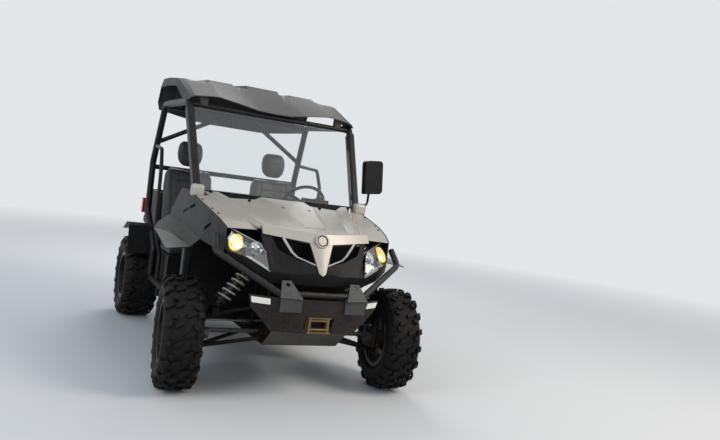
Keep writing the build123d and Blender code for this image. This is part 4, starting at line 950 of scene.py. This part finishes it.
# %% [markdown]
# ## Grille, badge and bright trim
# Behind the nose bar the openings show a black honeycomb, and a bright bar runs down each side
# to the tongue. The round badge is a plain ring on a plain disc. A mesh of hexagons could be cut
# from a plate, but here each cell is a circle of six, inset to a ring: rings that share a side
# merge, and one extrusion gives the whole net its depth.

# %% Grille trim and badge
# Bright bar from the nose bar down to the tongue: (x, y, z, width)
BARS = [(0.224, -1.284, 0.950, 0.016), (0.175, -1.305, 0.881, 0.013), (0.144, -1.320, 0.854, 0.009),
        (0.040, -1.358, 0.820, 0.007)]
bm = bmesh.new()
for start, end in zip(BARS, BARS[1:]):
    strip(bm, start[:3], end[:3], (start[3] + end[3]) / 2, 0.009)
round_edges(bm, 1.5)
twin_piece("grille_bars", bm, bright_trim)

# the badge: a plain disc, a dark groove and a bright ring
BADGE = [(0, 0.0050), (0.027, 0.0045), (0.0285, 0.001), (0.0325, 0.001), (0.034, 0.0060),
         (0.038, 0.0080), (0.0420, 0.0065), (0.043, 0.003), (0.043, -0.006), (0, -0.006)]
DISC_R = 0.0275
GROOVE_R = 0.0335
bm = bmesh.new()
spun(bm, BADGE, 64)
tilt = Matrix.Translation((0, -1.3215, 0.957)) @ Matrix.Rotation(math.radians(90 - 24), 4, "X")
bmesh.ops.recalc_face_normals(bm, faces=bm.faces)
for face in bm.faces:
    reach = Vector(face.calc_center_median()[:2]).length
    face.material_index = 0 if reach < DISC_R else 1 if reach < GROOVE_R else 2
bmesh.ops.transform(bm, matrix=tilt, verts=bm.verts)
sharpen(bm)
piece("badge", bm, [silver_panel, black_trim, bright_trim], "chassis")

# the left opening seen from the front: (x, z)
HOLE = [(0.070, 0.932), (0.286, 0.952), (0.252, 0.884), (0.150, 0.842), (0.046, 0.818)]


def inside(x, z, ring):
    """Whether a point lies inside a ring of points."""
    count = 0
    for (x0, z0), (x1, z1) in zip(ring, ring[1:] + ring[:1]):
        if (z0 > z) != (z1 > z) and x < x0 + (z - z0) * (x1 - x0) / (z1 - z0):
            count += 1
    return count % 2 == 1


# the honeycomb: pitch of its cells, half a wall, depth, its front plane and its first cell (x, z)
PITCH = 0.019
COMB_WALL = 0.0022
COMB_DEEP = 0.004
COMB_Y = -1.219
FIRST_CELL = (0.03, 0.80)
UPRIGHT_CELL = Matrix.Rotation(math.pi / 2, 4, "X")
bm = bmesh.new()
for row in range(12):
    for column in range(18):
        x = FIRST_CELL[0] + PITCH * (column + 0.5 * (row % 2))
        z = FIRST_CELL[1] + PITCH * 0.866 * row
        if not inside(x, z, HOLE):
            continue
        ring = bmesh.ops.create_circle(bm, segments=6, radius=PITCH * 0.577)["verts"]
        bmesh.ops.transform(bm, matrix=Matrix.Translation((x, COMB_Y, z)) @ UPRIGHT_CELL, verts=ring)
        face = bm.faces.new(ring)
        face.normal_update()
        bmesh.ops.inset_individual(bm, faces=[face], thickness=COMB_WALL)
        bmesh.ops.delete(bm, geom=[face], context="FACES_ONLY")
bmesh.ops.remove_doubles(bm, verts=bm.verts, dist=0.2 * MM)
made = bmesh.ops.extrude_face_region(bm, geom=bm.faces[:])["geom"]
bmesh.ops.translate(bm, vec=(0, COMB_DEEP, 0), verts=corners(made))
bmesh.ops.recalc_face_normals(bm, faces=bm.faces)
mirrored(bm)
mesh_grille = piece("grille_honeycomb", bm, black_trim, "chassis", smooth=False)
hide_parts("grille")
print("honeycomb faces", len(mesh_grille.data.polygons))

# the bent rubber baffle on each side that closes the gap between radiator and fascia: (x, y)
BAFFLE = [(0.236, -1.206), (0.262, -1.213), (0.303, -1.222)]
BAFFLE_FOOT = 0.822
BAFFLE_HIGH = 0.116
bm = bmesh.new()
foot = [bm.verts.new((x, y, BAFFLE_FOOT)) for x, y in BAFFLE]
edges = [bm.edges.new(ends) for ends in zip(foot, foot[1:])]
made = bmesh.ops.extrude_edge_only(bm, edges=edges)["geom"]
bmesh.ops.translate(bm, vec=(0, 0, BAFFLE_HIGH), verts=corners(made))
bmesh.ops.recalc_face_normals(bm, faces=bm.faces)
bmesh.ops.solidify(bm, geom=bm.faces[:], thickness=0.003)
twin_piece("radiator_baffles", bm, black_trim, False)

# %% [markdown]
# ## Seats
# A seat is foam under vinyl: crowned, rounded, with its sides pulled in by the seams. Cloth with
# a little pressure gives that swell. The pad starts as a lofted block somewhat smaller than the
# solid, is remeshed to an even skin, blown up for 20 frames, and every vertex is kept within a
# cap of where it started. Seams and channels are pressed in afterwards.

# %% Seat pads
SEAT_X = 0.36
PRESSURE = 4.0


def lofted(bm, rings):
    """Closed block through rings of four corners each."""
    loops = [[bm.verts.new(p) for p in ring] for ring in rings]
    for low, high in zip(loops, loops[1:]):
        for i in range(4):
            bm.faces.new((low[i], low[(i + 1) % 4], high[(i + 1) % 4], high[i]))
    bm.faces.new(loops[0][::-1])
    bm.faces.new(loops[-1])
    bmesh.ops.recalc_face_normals(bm, faces=bm.faces)


def swell(name, bm, pressure, cap, voxel=0.007):
    """Remeshes a block, blows it up with cloth and returns a bmesh of the result."""
    mesh = bpy.data.meshes.new(name)
    bm.to_mesh(mesh)
    bm.free()
    pad = bpy.data.objects.new(name, mesh)
    bpy.context.scene.collection.objects.link(pad)
    bpy.context.view_layer.objects.active = pad
    remesh = pad.modifiers.new("even", "REMESH")
    remesh.mode = "VOXEL"
    remesh.voxel_size = voxel
    smooth = pad.modifiers.new("soft", "SMOOTH")
    smooth.iterations = 10
    with bpy.context.temp_override(object=pad, active_object=pad, selected_objects=[pad]):
        bpy.ops.object.modifier_apply(modifier="even")
        bpy.ops.object.modifier_apply(modifier="soft")
    start = [v.co.copy() for v in pad.data.vertices]
    cloth = pad.modifiers.new("cloth", "CLOTH")
    cloth.settings.use_pressure = True
    cloth.settings.uniform_pressure_force = pressure
    cloth.settings.effector_weights.gravity = 0
    cloth.settings.quality = 4
    for frame_number in range(1, 21):
        bpy.context.scene.frame_set(frame_number)
    with bpy.context.temp_override(object=pad, active_object=pad, selected_objects=[pad]):
        bpy.ops.object.modifier_apply(modifier="cloth")
    bpy.context.scene.frame_set(1)
    for v, old in zip(pad.data.vertices, start):
        shift = v.co - old
        if shift.length > cap:
            shift = shift.normalized() * cap
        v.co = old + shift
    bm = bmesh.new()
    bm.from_mesh(pad.data)
    bpy.data.objects.remove(pad)
    return bm


def press(bm, depth_at):
    """Pushes each vertex in along its normal by what depth_at gives for its place."""
    bm.normal_update()
    moves = [(v, v.normal.copy() * -depth_at(v.co, v.normal)) for v in bm.verts]
    for v, move in moves:
        v.co += move


def groove(distance, width, depth):
    """Depth of a rounded groove at a distance from its line."""
    return depth * math.exp(-(distance / width) ** 2)


def twin(bm, name, finishes, node):
    """The pad and its copy on the other seat, as one piece each."""
    for label, way in (("left", 1), ("right", -1)):
        copy = bm.copy()
        if way < 0:
            bmesh.ops.scale(copy, vec=(-1, 1, 1), verts=copy.verts)
            bmesh.ops.reverse_faces(copy, faces=copy.faces)
        made = piece(f"{name}_{label}", copy, finishes, BODY_OF[node])
        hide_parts(node)
        print(made.name, len(made.data.polygons), "faces")
    bm.free()


def pad(name, rings, soft_edge, cap):
    """A block through rings, its edges softened, blown up by at most a cap."""
    bm = bmesh.new()
    lofted(bm, rings)
    bmesh.ops.bevel(bm, geom=bm.edges[:], offset=soft_edge, offset_type="OFFSET", segments=3, profile=0.5,
                    affect="EDGES", material=-1, clamp_overlap=True)
    return swell(name, bm, PRESSURE, cap)


def level_ring(z, y, half, deep):
    """Four corners at a height, from the front face back."""
    left, right = SEAT_X - half, SEAT_X + half
    return [(left, y, z), (right, y, z), (right, y + deep, z), (left, y + deep, z)]


# cushion: rings from front to rear, each (y, half width, low, high)
CUSHION = [(0.176, 0.190, 0.640, 0.690), (0.186, 0.200, 0.634, 0.716), (0.230, 0.203, 0.633, 0.722),
           (0.380, 0.203, 0.633, 0.706), (0.540, 0.198, 0.633, 0.700)]
rings = []
for y, half, low, high in CUSHION:
    left, right = SEAT_X - half, SEAT_X + half
    rings.append([(left, y, low), (right, y, low), (right, y, high), (left, y, high)])
bm = pad("cushion", rings, 0.014, 0.010)


def cushion_seams(co, normal):
    """Side bolster seams, cross channels and a shallow dip in the middle panel."""
    if normal.z < 0.2:
        return 0.0
    across = abs(co.x - SEAT_X)
    depth = groove(across - 0.128, 0.005, 0.007)
    if across < 0.128:
        for y in (0.260, 0.340, 0.420, 0.500):
            depth = max(depth, groove(co.y - y, 0.005, 0.005))
        depth += 0.004 * (1 - across / 0.128)
    return depth


press(bm, cushion_seams)
twin(bm, "seat_cushion", seat_vinyl, "seat_cushions")

# back: rings from the foot up, each (z, front y, half width, depth)
BACK = [(0.662, 0.572, 0.178, 0.090), (0.880, 0.594, 0.198, 0.064), (1.000, 0.613, 0.200, 0.052),
        (1.120, 0.650, 0.202, 0.070), (1.225, 0.673, 0.192, 0.070), (1.274, 0.690, 0.160, 0.048)]
bm = pad("back", [level_ring(*row) for row in BACK], 0.012, 0.009)


def back_seams(co, normal):
    """Bolster seams beside the middle panel and three channels across it, on the front."""
    if normal.y > -0.2:
        return 0.0
    across = abs(co.x - SEAT_X)
    edge = 0.120 - 0.02 * (co.z - 0.9)
    depth = groove(across - edge, 0.005, 0.007)
    if across < edge:
        for z in (0.780, 0.880, 0.980, 1.080, 1.180):
            depth = max(depth, groove(co.z - z, 0.005, 0.005))
        depth += 0.005 * (1 - across / edge)
    return depth


press(bm, back_seams)
twin(bm, "seat_back", seat_vinyl, "seat_backs")

# headrest: a wide pillow that narrows to a short padded neck
HEADREST = [(1.296, 0.700, 0.052, 0.044), (1.330, 0.698, 0.088, 0.066), (1.400, 0.700, 0.100, 0.078),
            (1.470, 0.712, 0.092, 0.072), (1.500, 0.726, 0.068, 0.044)]
bm = pad("headrest", [level_ring(*row) for row in HEADREST], 0.016, 0.008)
press(bm, lambda co, normal: groove(co.z - 1.41, 0.004, 0.004) if normal.y < -0.2 else 0.0)
twin(bm, "headrest", seat_vinyl, "headrests")

# %% [markdown]
# ## Small fittings
# What is left are the things a hand would touch: the rolled bead that closes the seam between the
# hood and each fender, the cap over each pillar's foot, plugs and rubber stops on the hood, wheel
# nuts and hub caps. Each is turned or bent from a few points, and the plugs and stops are stood on
# the skin below them, which a ray finds, so that nothing floats where the panel curves.

# %% Fittings


def bead(bm, path, wide, high):
    """A half-round bead along a path that runs mostly along Y."""
    turns = [math.radians(-30 + 30 * k) for k in range(9)]
    rings = []
    for x, y, z in path:
        rings.append([bm.verts.new((x + wide / 2 * math.cos(t), y, z + high * math.sin(t))) for t in turns])
    for low, high_ring in zip(rings, rings[1:]):
        for i in range(len(turns)):
            j = (i + 1) % len(turns)
            bm.faces.new((low[i], low[j], high_ring[j], high_ring[i]))
    bm.faces.new(rings[0][::-1])
    bm.faces.new(rings[-1])


# the seam's middle from the pillar's foot to the nose bar
SEAM = [(0.520, -0.560, 1.138), (0.492, -0.620, 1.122), (0.468, -0.680, 1.105), (0.443, -0.760, 1.088),
        (0.399, -0.920, 1.050), (0.360, -1.080, 1.008), (0.335, -1.175, 0.992)]
bm = bmesh.new()
bead(bm, SEAM, 0.024, 0.011)
twin_piece("seam_beads", bm, silver_panel)
# the cap over a pillar's foot
bm = bmesh.new()
cube = bmesh.ops.create_cube(bm, size=1.0)["verts"]
bmesh.ops.scale(bm, vec=(0.082, 0.078, 0.084), verts=cube)
bmesh.ops.translate(bm, vec=(0.580, -0.582, 1.146), verts=cube)
bmesh.ops.bevel(bm, geom=bm.edges[:], offset=0.022, offset_type="OFFSET", segments=4, profile=0.5,
                affect="EDGES", material=-1, clamp_overlap=True)
even(twin_piece("pillar_caps", bm, silver_panel))


def stud(bm, skin, x, y, profile, steps=20):
    """Stands a spun fitting on a skin over (x, y), along the skin's normal."""
    spot, normal = skin.ray_cast(Vector((x, y, 2.0)), Vector((0, 0, -1)))[:2]
    part = bmesh.new()
    spun(part, profile, steps)
    join(bm, part, Matrix.Translation(spot) @ normal.to_track_quat("Z", "Y").to_matrix().to_4x4())


# push-in plugs, hood fastener and rubber stop: (node, x, y, radius, height)
STUDS = [("front_fenders", 0.572, -0.702, 0.008, 0.004), ("front_fenders", 0.556, -0.902, 0.008, 0.004),
         ("front_fenders", 0.538, -0.985, 0.008, 0.004), ("hood", 0.090, -0.850, 0.010, 0.003),
         ("hood", 0.250, -0.640, 0.010, 0.014)]
STUD_SUNK = 0.002
skins = {}
bm = bmesh.new()
for node, x, y, radius, height in STUDS:
    if node not in skins:
        shell = welded(node)
        skins[node] = BVHTree.FromBMesh(shell)
        shell.free()
    stud(bm, skins[node], x, y, [(0, height), (radius * 0.7, height), (radius, height * 0.5),
                                 (radius, -STUD_SUNK), (0, -STUD_SUNK)])
twin_piece("panel_plugs", bm, black_trim)

# nuts and hub cap of each wheel, on the disc's outer face
DISC_FACE = 0.045
HUB_FACE = 0.069
NUT_RING = 0.068
# profiles to spin: (radius, height)
NUT = [(0, 0.012), (0.007, 0.012), (0.0098, 0.009), (0.0098, 0), (0.0120, 0), (0.0120, -0.001), (0, -0.001)]
HUB_CAP = [(0, 0.009), (0.016, 0.008), (0.026, 0.004), (0.030, -0.001), (0, -0.001)]
for name, place, width in WHEELS:
    bm = bmesh.new()
    outward = Matrix.Rotation(math.pi / 2, 4, "Y")
    for k in range(4):
        turn = Matrix.Rotation(math.radians(45 + 90 * k), 4, "X")
        nut = bmesh.new()
        spun(nut, NUT, 6)
        join(bm, nut, place @ turn @ Matrix.Translation((DISC_FACE, 0, NUT_RING)) @ outward)
    cap = bmesh.new()
    spun(cap, HUB_CAP, 40)
    join(bm, cap, place @ Matrix.Translation((HUB_FACE, 0, 0)) @ outward)
    bmesh.ops.recalc_face_normals(bm, faces=bm.faces)
    sharpen(bm)
    piece("wheel_nuts_" + name, bm, bare_steel, "wheel_" + name)
print("fittings done")

# %% [markdown]
# ## Sizes
# The box round the visual model is printed. The visual model has to stay inside the
# solids' box.

# %% Print the visual model's box
low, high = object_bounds()
print("visual box", low[:], high[:])
